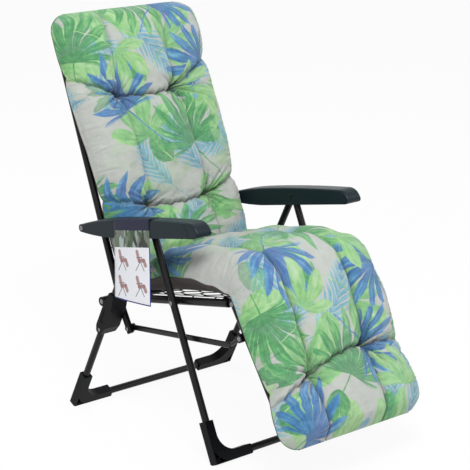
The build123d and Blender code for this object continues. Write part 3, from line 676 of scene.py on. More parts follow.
@dataclass(frozen=True)
class PrintedCloth:
    """Printed woven polyester: painted tropical leaves of its own design on a pale grey ground.

    Attributes:
        name: Name of the material.
        ground: Colour of the bare cloth.
        pale: Colour of its palest threads.
        splash: Colour of the thin washes between the leaves.
        shade: Colour of the shade painted into the creases, channels, tuft pits and folds.
        weave: Distance between two threads, in metres.
        scatter: How unevenly the leaves are strewn, 0 to 1.
        wobble: How far the painted edges waver, in metres.
        crumple: Height of the cloth's small crumples, in metres.
        layers: The leaf layers, the lowest first.
    """

    name: str = "printed_cloth"
    ground: Colour = (0.42, 0.44, 0.41)
    pale: Colour = (0.57, 0.59, 0.56)
    splash: Colour = (0.33, 0.50, 0.28)
    shade: Colour = (0.018, 0.021, 0.024)
    weave: float = 0.0011
    scatter: float = 0.42
    wobble: float = 0.014
    crumple: float = 0.0085
    layers: tuple[LeafLayer, ...] = (
        LeafLayer(Motif.FEATHER, 0.235, 0.108, (0.03, 0.11), *TEAL, 0.9),
        LeafLayer(Motif.FEATHER, 0.26, 0.085, (0.15, 0.21), *TEAL, 0.75),
        LeafLayer(Motif.OVAL, 0.18, 0.072, (0.05, 0.15), *SPRING, 0.35),
        LeafLayer(Motif.OVAL, 0.19, 0.055, (0.09, 0.02), *GREEN, 0.7),
        LeafLayer(Motif.BLADE, 0.25, 0.120, (0.16, 0.05), *LIME, 0.8),
        LeafLayer(Motif.FAN, 0.30, 0.125, (0.02, 0.19), *GREEN, 0.8),
        LeafLayer(Motif.FAN, 0.30, 0.120, (0.21, 0.07), *BLUE, 0.6),
        LeafLayer(Motif.BLADE, 0.26, 0.090, (0.11, 0.24), *SPRING, 0.55),
    )

    def leaf_axes(self, graph: Graph, x: Wire, y: Wire,
                  layer: LeafLayer) -> tuple[Wire, Wire, Wire, Wire]:
        """Find a point's place in its nearest leaf.

        Args:
            graph: The material's graph.
            x: Place across the cloth, in metres.
            y: Place along the cloth, in metres.
            layer: The leaf layer.

        Returns:
            Distance along and across the leaf as shares of its reach, and two random numbers.
        """
        moved_x, moved_y = x + layer.offset[0], y + layer.offset[1]
        cells = graph.node("ShaderNodeTexVoronoi", {"voronoi_dimensions": "2D"}, {
            "Vector": graph.join(moved_x, moved_y), "Scale": 1 / layer.cell,
            "Randomness": self.scatter}, "Position")
        tint = Wire(graph, cells.socket.node.outputs["Color"])
        centre_x, centre_y, _ = graph.split(cells)
        pick, turn, _ = graph.split(tint)
        angle = turn * math.tau
        cosine, sine = angle.math("COSINE"), angle.math("SINE")
        gap_x, gap_y = (moved_x - centre_x) / layer.reach, (moved_y - centre_y) / layer.reach
        return (gap_x * cosine + gap_y * sine, gap_y * cosine - gap_x * sine, pick, turn)

    def fan(self, graph: Graph, along: Wire, across: Wire,
            fingers: int) -> tuple[Wire, Wire, Wire]:
        """Fan of pointed fingers from one root: a finger narrows as its length runs out.

        Args:
            graph: The material's graph.
            along: Distance along the leaf.
            across: Distance across the leaf.
            fingers: How many fingers a full turn would hold.

        Returns:
            Coverage, a tone that lightens towards the tips, and brush strokes along the fingers.
        """
        out = along + 0.62
        radius = (out * out + across * across).math("SQRT")
        bearing = across.math("ARCTAN2", out) + radius * 0.22
        length = 1.55 - abs(bearing) * 0.38
        turn = bearing * (fingers / math.tau)
        finger = abs(turn.math("FRACT") - 0.5) * 2
        spent = (radius / length).math("MINIMUM", 1.2)
        cover = (1.07 - spent ** 3 - finger).step(0.16)
        spread = (1.75 - abs(bearing)).step(0.2)
        stem = (0.022 - abs(across + out * out * 0.2)).step(0.012) * (0.02 - out).step(0.02)
        stroke = graph.noise(graph.join(turn * 5, radius * 1.6), 1.0, 2.0)
        return ((cover * spread).math("MAXIMUM", stem),
                spent * 0.75 + (0.5 - finger) * 0.25, stroke)

    def feather(self, graph: Graph, along: Wire, across: Wire) -> tuple[Wire, Wire, Wire]:
        """Feather of slanting leaflets: they repeat along a bowed rib, inside half an ellipse.

        Args:
            graph: The material's graph.
            along: Distance along the leaf.
            across: Distance across the leaf.

        Returns:
            Coverage, tone and strokes.
        """
        lateral = across + along * along * 0.18
        reach = abs(lateral)
        envelope = (1.02 - along * along).math("MAXIMUM", 0.0).math("SQRT") * 0.5
        leaflet = abs(((along - reach * 1.5) * 4.3).math("FRACT") - 0.5) * 2
        spent = (reach / (envelope + 0.02)).math("MINIMUM", 1.2)
        cover = (0.92 - spent ** 2.4 * 0.95 - leaflet).step(0.2)
        rib = (0.02 - reach).step(0.014) * (1.15 - abs(along)).step(0.05)
        stroke = graph.noise(graph.join((along - reach * 1.5) * 9, reach * 3), 1.0, 2.0)
        return cover.math("MAXIMUM", rib), spent, stroke

    def oval(self, graph: Graph, along: Wire, across: Wire) -> tuple[Wire, Wire, Wire]:
        """Broad leaf: its half width is (1 - along^2)^0.7, less towards the tip, round a rib.

        Args:
            graph: The material's graph.
            along: Distance along the leaf.
            across: Distance across the leaf.

        Returns:
            Coverage, tone and strokes.
        """
        lateral = abs(across + along * along * 0.1)
        envelope = (1 - along * along).math("MAXIMUM", 0.0) ** 0.7 * (0.62 - along * 0.2)
        cover = (envelope - lateral).step(0.05)
        veins = abs(((along - lateral * 0.8) * 3.5).math("FRACT") - 0.5)
        rib = (0.03 - lateral).step(0.02)
        stroke = graph.noise(graph.join((along - lateral * 0.8) * 7, lateral * 3), 1.0, 2.0)
        return cover, (along + 1) * 0.4 + veins * 0.3 + rib * 0.4, stroke

    def leaf(self, graph: Graph, motif: Motif, along: Wire,
             across: Wire) -> tuple[Wire, Wire, Wire]:
        """Paint a leaf of one shape.

        Args:
            graph: The material's graph.
            motif: The shape.
            along: Distance along the leaf.
            across: Distance across the leaf.

        Returns:
            Coverage, tone and strokes.
        """
        if motif in FINGERS:
            return self.fan(graph, along, across, FINGERS[motif])
        shape = self.feather if motif is Motif.FEATHER else self.oval
        return shape(graph, along, across)

    def build(self) -> bpy.types.Material:
        """Build the node graph.

        Returns:
            The material.
        """
        graph = SurfaceGraph(self.name)
        cloth = graph.coordinates("UV")
        waver = graph.node("ShaderNodeTexNoise", inputs={
            "Vector": cloth, "Scale": 22.0, "Detail": 2.0}, output="Color")
        waver_x, waver_y, _ = graph.split(waver)
        plain_x, plain_y, _ = graph.split(cloth)
        x = plain_x + (waver_x - 0.5) * self.wobble
        y = plain_y + (waver_y - 0.5) * self.wobble
        wash = graph.noise(cloth, 30.0, 3.0, 0.6)
        pool = graph.noise(cloth, 75.0, 3.0, 0.6)
        colour = graph.mix((wash - 0.25) * 0.8, self.ground, self.pale)
        spill = (graph.noise(cloth, 9.0, 3.0, 0.6) - 0.50).step(0.14)
        colour = graph.mix(spill * 0.45 * pool, colour, self.splash)
        for layer in self.layers:
            along, across, pick, turn = self.leaf_axes(graph, x, y, layer)
            cover, tone, stroke = self.leaf(graph, layer.motif, along, across)
            shown = cover * (layer.share - pick).step(0.02)
            shade = tone * 0.6 + (wash - 0.5) * 1.1 + (stroke - 0.5) * 1.5 + 0.12
            paint = graph.ramp(shade, ((0.0, layer.deep), (0.55, layer.light),
                                       (1.0, layer.tip)))
            colour = graph.mix(shown * (0.72 + 0.36 * pool).math("MINIMUM", 1.0), colour, paint)
        # Painted shade: the crease attribute darkens the print towards the shade colour in
        # creases, channels, tuft pits and folds.
        crease = graph.node("ShaderNodeAttribute", {"attribute_name": "crease"}, output="Fac")
        dark = (crease * 1.15).math("MINIMUM", 1.0)
        colour = graph.mix(dark * 0.88, colour, self.shade)
        slub = graph.noise(graph.join(plain_x * 900, plain_y * 70), 1.0, 2.0)
        crumple = graph.noise(cloth, 26.0, 5.0, 0.62)
        pulled = graph.noise(graph.join(plain_x * 14, plain_y * 55), 1.0, 3.0, 0.6)
        height = (graph.threads(plain_x, plain_y, self.weave) * 0.03 + slub * 0.07 + crumple
                  + pulled * 0.5)
        return graph.finish(colour, 0.86, graph.bump(height, self.crumple, 0.85),
                            sheen_weight=0.15, sheen_roughness=0.5)


@dataclass(frozen=True)
class LiningCloth:
    """Plain brown-grey lining under the cushion.

    Attributes:
        name: Name of the material.
        colour: Colour of the cloth.
        faded: Colour of its paler places.
        weave: Distance between two threads, in metres.
        weave_depth: Height of the threads, in metres.
    """

    name: str = "lining_cloth"
    colour: Colour = (0.050, 0.043, 0.038)
    faded: Colour = (0.085, 0.075, 0.066)
    weave: float = 0.0012
    weave_depth: float = 0.0002

    def build(self) -> bpy.types.Material:
        """Build the node graph.

        Returns:
            The material.
        """
        graph = SurfaceGraph(self.name)
        cloth = graph.coordinates("UV")
        x, y, _ = graph.split(cloth)
        cloud = graph.noise(cloth, 40.0, 3.0)
        colour = graph.mix(cloud * 0.5, self.colour, self.faded)
        weave = graph.threads(x, y, self.weave)
        return graph.finish(colour, 0.9, graph.bump(weave, self.weave_depth, 0.4))


@dataclass(frozen=True)
class CardPrint:
    """Hang card: a dark band, a strip of mixed colours, and a field of small drawn chairs.

    Attributes:
        width: Width of the card, in metres.
        drop: Lengths of its rear and front edges, in metres.
        name: Name of the material.
        band: Height of the dark band, in metres.
        strip: Height of the mixed strip, in metres.
        border: Width of the border, in metres.
        sharp: Width over which the ink's straight edges fade, in metres.
        night: Ink of the dark band.
        paper: Colour of the field.
        rim: Ink of the border.
        patches: Stops of the mixed strip's ramp.
        drawing: Lines of a drawn chair, in shares of its square, as groups that have a half
            width and an ink: first its frame, then its cushion.
    """

    width: float
    drop: tuple[float, float]
    name: str = "card_print"
    band: float = 0.030
    strip: float = 0.046
    border: float = 0.0036
    sharp: float = 0.0005
    night: Colour = (0.006, 0.007, 0.030)
    paper: Colour = (0.74, 0.75, 0.79)
    rim: Colour = (0.012, 0.022, 0.20)
    patches: tuple[tuple[float, Colour], ...] = (
        (0.1, (0.03, 0.035, 0.03)), (0.4, (0.06, 0.12, 0.05)),
        (0.65, (0.16, 0.17, 0.15)), (0.95, (0.34, 0.42, 0.40)))
    drawing: tuple[tuple[Table, float, Colour], ...] = (
        (((0.24, 0.90, 0.56, 0.42), (0.68, 0.90, 0.42, 0.42), (0.28, 0.40, 0.56, 0.38)),
         0.028, (0.03, 0.03, 0.035)),
        (((0.30, 0.16, 0.42, 0.52), (0.42, 0.52, 0.66, 0.50), (0.66, 0.50, 0.76, 0.70)),
         0.085, (0.30, 0.15, 0.14)))

    @staticmethod
    def stroke(x: Wire, y: Wire, line: tuple[float, ...], half: float) -> Wire:
        """Cover the points within half of a straight line.

        Args:
            x: Place across.
            y: Place down.
            line: Both ends.
            half: Half the line's width.

        Returns:
            Coverage.
        """
        start_x, start_y, end_x, end_y = line
        span_x, span_y = end_x - start_x, end_y - start_y
        share = ((x - start_x) * span_x + (y - start_y) * span_y) / (span_x ** 2 + span_y ** 2)
        share = share.math("MINIMUM", 1.0).math("MAXIMUM", 0.0)
        gap_x, gap_y = x - start_x - share * span_x, y - start_y - share * span_y
        return (half - (gap_x * gap_x + gap_y * gap_y).math("SQRT")).step(0.02)

    def build(self) -> bpy.types.Material:
        """Build the node graph.

        Returns:
            The material.
        """
        graph = SurfaceGraph(self.name)
        x, y, _ = graph.split(graph.coordinates("UV"))
        blocks = graph.node("ShaderNodeTexVoronoi", {"voronoi_dimensions": "2D"}, {
            "Vector": graph.join(x, y * 0.4), "Scale": 95.0}, "Color")
        tint, _, _ = graph.split(blocks)
        mixed = graph.ramp(tint, self.patches)
        colour = graph.mix((y - self.band).step(self.sharp), self.night, mixed)
        field_top, (rear, front) = self.band + self.strip, self.drop
        field = (y - field_top).step(self.sharp)
        colour = graph.mix(field, colour, self.paper)
        cell_x = (x / (self.width / 2)).math("FRACT")
        cell_y = ((y - field_top) / ((rear - field_top) / 2)).math("FRACT")
        drawn = field * (rear - self.border - y).step(self.sharp)
        for lines, half, ink in self.drawing:
            for line in lines:
                cover = self.stroke(cell_x, cell_y, line, half)
                colour = graph.mix(cover * drawn * 0.85, colour, ink)
        lower = rear + x * ((front - rear) / self.width)
        edge = ((x - self.width + self.border).step(self.sharp)).math(
            "MAXIMUM", (y - lower + self.border).step(self.sharp))
        colour = graph.mix(edge * field, colour, self.rim)
        return graph.finish(colour, 0.45, specular_ior_level=0.3)


# Steel and plastic that keep their CAD shapes


class Hardware:
    """Frames, mouldings and rivets of the CAD model, dressed with their finishes."""

    def __init__(self, nodes: dict[str, bpy.types.Object]) -> None:
        """Build the finishes.

        Args:
            nodes: The CAD nodes by name.
        """
        self.nodes = nodes
        self.steel = PowderCoat().build()
        self.plastic = MouldedPlastic().build()
        self.bracket = MouldedPlastic("black_plastic", (0.0022, 0.0022, 0.003), shine=0.09).build()
        self.rivet = RivetSteel().build()

    def finish_of(self, name: str) -> bpy.types.Material:
        """Choose a finish by the words in a node's name.

        Args:
            name: Name of the node.

        Returns:
            The finish of the first group that has a word of the name, or else the steel.
        """
        kinds = ((self.steel, ("pins",)), (self.rivet, ("rivets", "bolts")),
                 (self.bracket, ("foot_", "bracket", "plugs", "spacers")),
                 (self.plastic, ("armrest", "rack")))
        for finish, words in kinds:
            if any(word in name for word in words):
                return finish
        return self.steel

    def dress(self) -> None:
        """Give each node its finish."""
        for name, node in self.nodes.items():
            node.data.materials.clear()
            node.data.materials.append(self.finish_of(name))
        log.info("dressed %d CAD nodes", len(self.nodes))


# Nets


@dataclass
class Net:
    """Welded net of long six-sided links, hung between two frame tubes.

    Attributes:
        name: Body that carries the net.
        run: The chair's run that the net lies in.
        start: Where the net begins along the run.
        end: Where it ends.
        rows: Links along.
        columns: Links across.
        half_width: Half its width.
        lift: Its height over the tubes' plane.
        wire: Diameter of its wire.
        flat_share: Half the length of a link's flat side, as a share of the link's pitch.
    """

    name: str
    run: Run
    start: float
    end: float
    rows: int
    columns: int = 7
    half_width: float = 0.204
    lift: float = 0.009
    wire: float = 0.0030
    flat_share: float = 0.15

    def zigzag(self, row: int) -> np.ndarray:
        """Wire that steps half a link up and down: flat, slope, flat, slope.

        Args:
            row: Number of the wire along the run.

        Returns:
            Points of shape (count, 3).
        """
        pitch = 2 * (self.half_width - self.wire) / self.columns
        rise = (self.end - self.start) / self.rows
        flat = self.flat_share * pitch
        step = np.arange(self.columns * 2 + 1)
        centre = -self.half_width + self.wire + step * pitch / 2
        up = np.where((step + row) % 2 == 0, 0.5, -0.5) * (rise - self.wire)
        across = np.stack((centre - flat, centre + flat), 1)
        along = np.repeat((self.start + row * rise + up)[:, None], 2, 1)
        across = np.clip(across.ravel(), -self.half_width, self.half_width)
        along = np.clip(along.ravel(), self.start, self.end)
        return self.run.at(across, along, self.lift)

    def border(self) -> np.ndarray:
        """Border wire of the net.

        Returns:
            Its corners, the first one again at the end.
        """
        across = np.array((-1, 1, 1, -1, -1)) * self.half_width
        along = np.array((self.start, self.start, self.end, self.end, self.start))
        return self.run.at(across, along, self.lift)

    def build(self, finish: bpy.types.Material) -> None:
        """Make the net and hang it on its body.

        Args:
            finish: Material of the wire.
        """
        paths = [self.zigzag(row) for row in range(self.rows + 1)]
        corners = self.border()
        paths += [corners[index:index + 2] for index in range(4)]
        made = wires(f"{self.name}_net_wires", paths, self.run.normal, self.wire / 2)
        made.data.materials.append(finish)
        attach(made, self.name)
        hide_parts(f"{self.name}_net")
        log.info("net on the %s: %d faces", self.name, len(made.data.polygons))


# Cushion


@dataclass(frozen=True)
class TuftRow:
    """A row of two stitched tufts with the crease that runs through them to the sides.

    Attributes:
        place: Where the tufts are along the cushion.
        slope: How far the crease climbs per metre outside the tufts.
        depth: How deep the valley is.
        pit: How much deeper the tufts are.
        pinch: How far the crease's ends draw in the sides.
        skew: How far the row climbs towards -X per metre.
    """

    place: float
    slope: float
    depth: float
    pit: float
    pinch: float = 0.010
    skew: float = 0.0


@dataclass(frozen=True)
class Folds:
    """Short pressed folds in the cloth: each starts sharp at a point and fades along its line.

    Attributes:
        x: Start across the cushion.
        place: Start along the cushion.
        bearing: Direction of each fold, in radians from the across axis.
        length: Length of each fold.
        depth: Depth at its start.
        width: Width of its valley a little past its middle.
        bend: Sideways curve per squared metre.
        onset: Length over which a fold begins.
        full: Depth from which the shade painted into a fold's valley is at full strength.
    """

    x: np.ndarray
    place: np.ndarray
    bearing: np.ndarray
    length: np.ndarray
    depth: np.ndarray
    width: np.ndarray
    bend: np.ndarray
    onset: float = 0.006
    full: float = 0.006

    def relief(self, x: np.ndarray, place: np.ndarray) -> tuple[np.ndarray, np.ndarray]:
        """Sum the folds' valleys and the ridges beside them, all bell curves across the fold.

        Args:
            x: Places across the cushion.
            place: Places along it.

        Returns:
            Height to add, and the strength of the shade painted into the folds' valleys at each
            point.
        """
        total, crease = np.zeros_like(x), np.zeros_like(x)
        for one in zip(self.x, self.place, self.bearing, self.length, self.depth, self.width,
                       self.bend):
            start_x, start_place, bearing, length, depth, width, bend = one
            gap_x, gap_place = x - start_x, place - start_place
            along = gap_x * math.cos(bearing) + gap_place * math.sin(bearing)
            across = gap_place * math.cos(bearing) - gap_x * math.sin(bearing)
            across = across + bend * along * along
            share = np.clip(along / length, 0, 1)
            fade = (1 - share) ** 1.3 * np.clip(along / self.onset, 0, 1)
            half = width * (0.45 + share)
            valley = bell(across, half) * fade
            ridge = bell(np.abs(across) - 2.2 * half, 1.3 * half) * fade
            total += depth * (0.45 * ridge - valley)
            # Painted shade: a narrow dark line along the fold's valley, stronger where the fold is
            # deeper.
            pressed = bell(across, half * 0.45) * fade * depth / self.full
            crease = np.maximum(crease, pressed)
        return total, crease


@dataclass(frozen=True)
class FoldSizes:
    """Ranges that the sizes of strewn folds are drawn from.

    Attributes:
        turn: Most turn to either side, in radians.
        length: Shortest and longest fold.
        depth: Least and greatest depth.
        width: Narrowest and widest valley.
        bend: Most sideways curve to either side, per squared metre.
    """

    turn: float
    length: tuple[float, float]
    depth: tuple[float, float]
    width: tuple[float, float]
    bend: float

    def draw(self, generator: np.random.Generator, count: int) -> list[np.ndarray]:
        """Draw the sizes of some folds.

        Args:
            generator: Source of the random numbers.
            count: How many folds.

        Returns:
            Their turns, lengths, depths, widths and bends.
        """
        ranges = ((-self.turn, self.turn), self.length, self.depth, self.width,
                  (-self.bend, self.bend))
        return [generator.uniform(low, high, count) for low, high in ranges]


@dataclass
class CushionShape:
    """Formula of one cushion length: its outline, crown, seams, tufts and gathers.

    The top's height over the tubes is the seam height plus a boxy crown that falls to the seam
    at the sides as (1 - |u|^4.2)^(1/2), less the channels, the creases and the pits of the
    tufts, plus pressed folds that run out from each tuft and gathers along the side seams.

    Attributes:
        rows: Table of place, half width, seam height and crown height.
        tufts: The tuft rows.
        stitches: Table of place and the channels' distances on the -X and the +X side.
        channel: Depth of the two sewn channels.
        channel_widths: Widths of a channel's sharp valley and of the hollow round it.
        puff: How far the filling swells between the channels.
        channel_shade: Strength of the shade painted along the sewn channels' lines.
        channel_shade_width: Width of the shade painted along a channel's line.
        crown_power: Power that makes the crown boxy.
        corner: Radius of the free end's corners.
        pinch_reach: How far along the sides a pinch reaches.
        stitch_span: Distance of the channels from the middle that the creases go by.
        sag: How far a crease sags between its tufts.
        pleats: Waves of a crease's line: height, radians per metre across and per metre of the
            row's place, and phase.
        crease_width: Width of a crease's sharp valley.
        hollow: Width of the hollow round it, and how much narrower it is at the sides.
        crease_shade_width: Width of the shade painted along a crease's line.
        pit_reach: How far from a tuft its pit reaches.
        pit_shade_width: Width of the shade painted into a tuft's pit.
        tuft_rays: Folds that run out from each tuft.
        ray_sizes: Sizes of these folds.
        ray_growth: Length and depth that the one towards the nearer side has more.
        gather_step: Least and greatest step between two gathers of a side seam.
        gather_start: How far outside the seam a gather begins.
        gather_sizes: Sizes of the gathers.
        waves: Long waves of the uneven filling.
        wave_length: The shortest and the longest wave.
        wave_height: Height of a wave as a share of its length.
        least: Least height of the top, so that it stays over the tubes.
        seed: Start of the random numbers.
    """

    rows: Table
    tufts: tuple[TuftRow, ...]
    stitches: Table
    channel: float = 0.007
    channel_widths: tuple[float, float] = (0.0055, 0.020)
    puff: float = 0.008
    channel_shade: float = 0.34
    channel_shade_width: float = 0.0026
    crown_power: float = 4.2
    corner: float = 0.058
    pinch_reach: float = 0.016
    stitch_span: float = 0.1
    sag: float = 0.010
    pleats: Table = ((0.0022, 118, 40, 0), (0.0014, 263, 0, 1.3))
    crease_width: float = 0.0062
    hollow: tuple[float, float] = (0.042, 0.016)
    crease_shade_width: float = 0.0028
    pit_reach: float = 0.014
    pit_shade_width: float = 0.0075
    tuft_rays: int = 15
    ray_sizes: FoldSizes = FoldSizes(0.2, (0.030, 0.070), (0.0050, 0.0100), (0.0028, 0.0050),
                                     2.5)
    ray_growth: tuple[float, float] = (0.065, 0.003)
    gather_step: tuple[float, float] = (0.016, 0.036)
    gather_start: float = 0.004
    gather_sizes: FoldSizes = FoldSizes(0.35, (0.025, 0.085), (0.0025, 0.0065),
                                        (0.0030, 0.0055), 3)
    waves: int = 16
    wave_length: tuple[float, float] = (0.030, 0.15)
    wave_height: float = 0.0075
    least: float = 0.016
    seed: int = 3

    def stitch_x(self, place: np.ndarray) -> tuple[np.ndarray, np.ndarray]:
        """Distances of the two channels from the middle, on the -X and the +X side."""
        left, right = eased(self.stitches, np.atleast_1d(place).ravel())
        return left.reshape(np.shape(place)), right.reshape(np.shape(place))

    def from_stitch(self, x: np.ndarray, place: np.ndarray) -> np.ndarray:
        """Distance outwards from the nearer channel, negative between the channels."""
        left, right = self.stitch_x(place)
        return np.where(x < 0, -x - left, x - right)

    def row_place(self, row: TuftRow, x: np.ndarray | float) -> np.ndarray | float:
        """Place of a tuft row's straight line at a distance across."""
        return row.place - row.skew * x

    def pinch_place(self, row: TuftRow) -> float:
        """Place where a row's crease meets the side seam."""
        half = float(eased(self.rows, np.array((row.place,)))[0, 0])
        return row.place + (half - self.stitch_span) * row.slope

    def half_width(self, place: np.ndarray) -> np.ndarray:
        """Half the width, drawn in at the pinches and rounded off at the free end.

        Args:
            place: Distances along the cushion, rising.

        Returns:
            The half width at each.
        """
        half = eased(self.rows, place)[0]
        for row in self.tufts:
            off = np.abs(place - self.pinch_place(row))
            half = half - row.pinch * np.exp(-off / self.pinch_reach)
        left = np.clip((place[-1] - place) / self.corner, 0, 1)
        return half - self.corner * (1 - np.sqrt(1 - np.square(1 - left)))

    def crease_line(self, row: TuftRow, x: np.ndarray) -> np.ndarray:
        """Line of a row's crease: it sags between the tufts and climbs outside them.

        Args:
            row: The tuft row.
            x: Distances across.

        Returns:
            Its place at each, with the small waves of the pleats.
        """
        gap = self.from_stitch(x, np.full_like(x, row.place))
        sag = 1 - np.square(np.minimum(np.abs(x) / self.stitch_span, 1))
        pleats = sum(height * np.sin(x * turn + row.place * shift + phase)
                     for height, turn, shift, phase in self.pleats)
        return self.row_place(row, x) + np.maximum(gap, 0) * row.slope - sag * self.sag + pleats

    def tuft_folds(self, generator: np.random.Generator) -> Folds:
        """Strew folds that run out from each tuft, the longest towards the nearer side.

        Args:
            generator: Source of the random numbers.

        Returns:
            The folds.
        """
        made, count = [], self.tuft_rays
        longer, deeper = self.ray_growth
        for row in self.tufts:
            for side in (-1, 1):
                turn, length, depth, width, bend = self.ray_sizes.draw(generator, count)
                bearing = np.linspace(0, math.tau, count, endpoint=False) + turn
                outward = 0.5 + 0.5 * np.cos(bearing)
                tuft = side * float(self.stitch_x(row.place)[(side + 1) // 2])
                made.append(np.stack((
                    np.full(count, tuft), np.full(count, self.row_place(row, tuft)),
                    bearing if side > 0 else math.pi - bearing,
                    length + longer * outward, depth + deeper * outward, width, bend)))
        return Folds(*np.concatenate(made, 1))

    def seam_folds(self, place: np.ndarray, generator: np.random.Generator) -> Folds:
        """Strew gathers that run in from both side seams, at uneven steps.

        Args:
            place: Distances along the cushion, rising.
            generator: Source of the random numbers.

        Returns:
            The gathers.
        """
        made = []
        for side in (-1, 1):
            start = np.cumsum(generator.uniform(*self.gather_step, 60))
            start = start[start < place[-1]]
            half = np.interp(start, place, self.half_width(place))
            turn, *sizes = self.gather_sizes.draw(generator, len(start))
            made.append(np.stack((side * (half + self.gather_start), start,
                                  turn if side < 0 else math.pi - turn, *sizes)))
        return Folds(*np.concatenate(made, 1))

    def top(self, u: np.ndarray, place: np.ndarray) -> tuple[np.ndarray, np.ndarray]:
        """Height of the top and the strength of the shade painted into its creases.

        Args:
            u: Share of the half width, -1 to 1, of shape (sections, points).
            place: Distance along the cushion, of the same shape.

        Returns:
            Height over the tubes' plane, and painted crease shade from 0 to 1.
        """
        line = place[:, 0]
        _, seam, crown = (part[:, None] for part in eased(self.rows, line))
        half = self.half_width(line)[:, None]
        x = u * half
        shell = np.sqrt(np.clip(1 - np.abs(u) ** self.crown_power, 0, 1))
        height = (crown - seam) * shell
        gap = self.from_stitch(x, place)
        left, right = self.stitch_x(place)
        middle, span = (right - left) / 2, (right + left) / 2
        room = half - np.where(x < 0, left, right)
        lobe = np.where(gap < 0, (x - middle) / span, 2 * gap / room - 1)
        swell = np.sqrt(np.clip(1 - lobe * lobe, 0, 1))
        sharp, soft = self.channel_widths
        channel = self.channel * (0.6 * bell(gap, sharp) + 0.4 * bell(gap, soft))
        height += shell * (self.puff * swell - channel)
        # Painted shade along the lines of the sewn channels.
        crease = self.channel_shade * bell(gap, self.channel_shade_width) * shell
        outside = np.clip(gap / room, 0, 1)
        hollow, fade = self.hollow[0] - self.hollow[1] * outside, 1 - 0.55 * outside
        for row in self.tufts:
            off = place - self.crease_line(row, x)
            valley = (0.5 * bell(off, self.crease_width)
                      + 0.5 * np.exp(-np.abs(off / hollow) ** 1.3))
            reach = np.sqrt(np.square(gap) + np.square(place - self.row_place(row, x)))
            pit = np.exp(-reach / self.pit_reach)
            height -= shell ** 0.5 * (row.depth * valley + row.pit * pit)
            # Painted shade along each crease's line, weaker outside the channels, and in each
            # tuft's pit.
            pressed = np.maximum(bell(off, self.crease_shade_width) * fade, bell(reach, self.pit_shade_width))
            crease = np.maximum(crease, pressed)
        generator = np.random.default_rng(self.seed)
        for folds in (self.tuft_folds(generator), self.seam_folds(line, generator)):
            relief, pressed = folds.relief(x, place)
            height += relief * np.clip((1 - np.abs(u)) * 9, 0, 1)
            # Painted shade in the valleys of the tuft folds and the side gathers.
            crease = np.maximum(crease, 0.8 * pressed * shell)
        height += self.rumple(x, place, generator) * shell
        height = np.maximum(height, (self.least - seam) * shell)
        return seam + height, np.clip(crease, 0, 1)

    def rumple(self, x: np.ndarray, place: np.ndarray,
               generator: np.random.Generator) -> np.ndarray:
        """Soft uneven filling: sine waves of random directions, high in step with their length.

        Args:
            x: Places across the cushion.
            place: Places along it.
            generator: Source of the random numbers.

        Returns:
            Height to add.
        """
        total = np.zeros_like(x)
        for _ in range(self.waves):
            bearing = generator.uniform(0, math.pi)
            length = generator.uniform(*self.wave_length)
            wave = (x * math.cos(bearing) + place * math.sin(bearing)) * math.tau / length
            total += np.sin(wave + generator.uniform(0, 6.28)) * length * self.wave_height
        return total


@dataclass
class CushionPath:
    """Line that the cushion's sections stand on, with their upright directions.

    Attributes:
        base: Foot of each section.
        upright: Unit vector of each section's height.
        stretch: How much longer a leaning section is than its height.
        place: Distance along the cushion at each section.
    """

    base: np.ndarray
    upright: np.ndarray
    stretch: np.ndarray
    place: np.ndarray


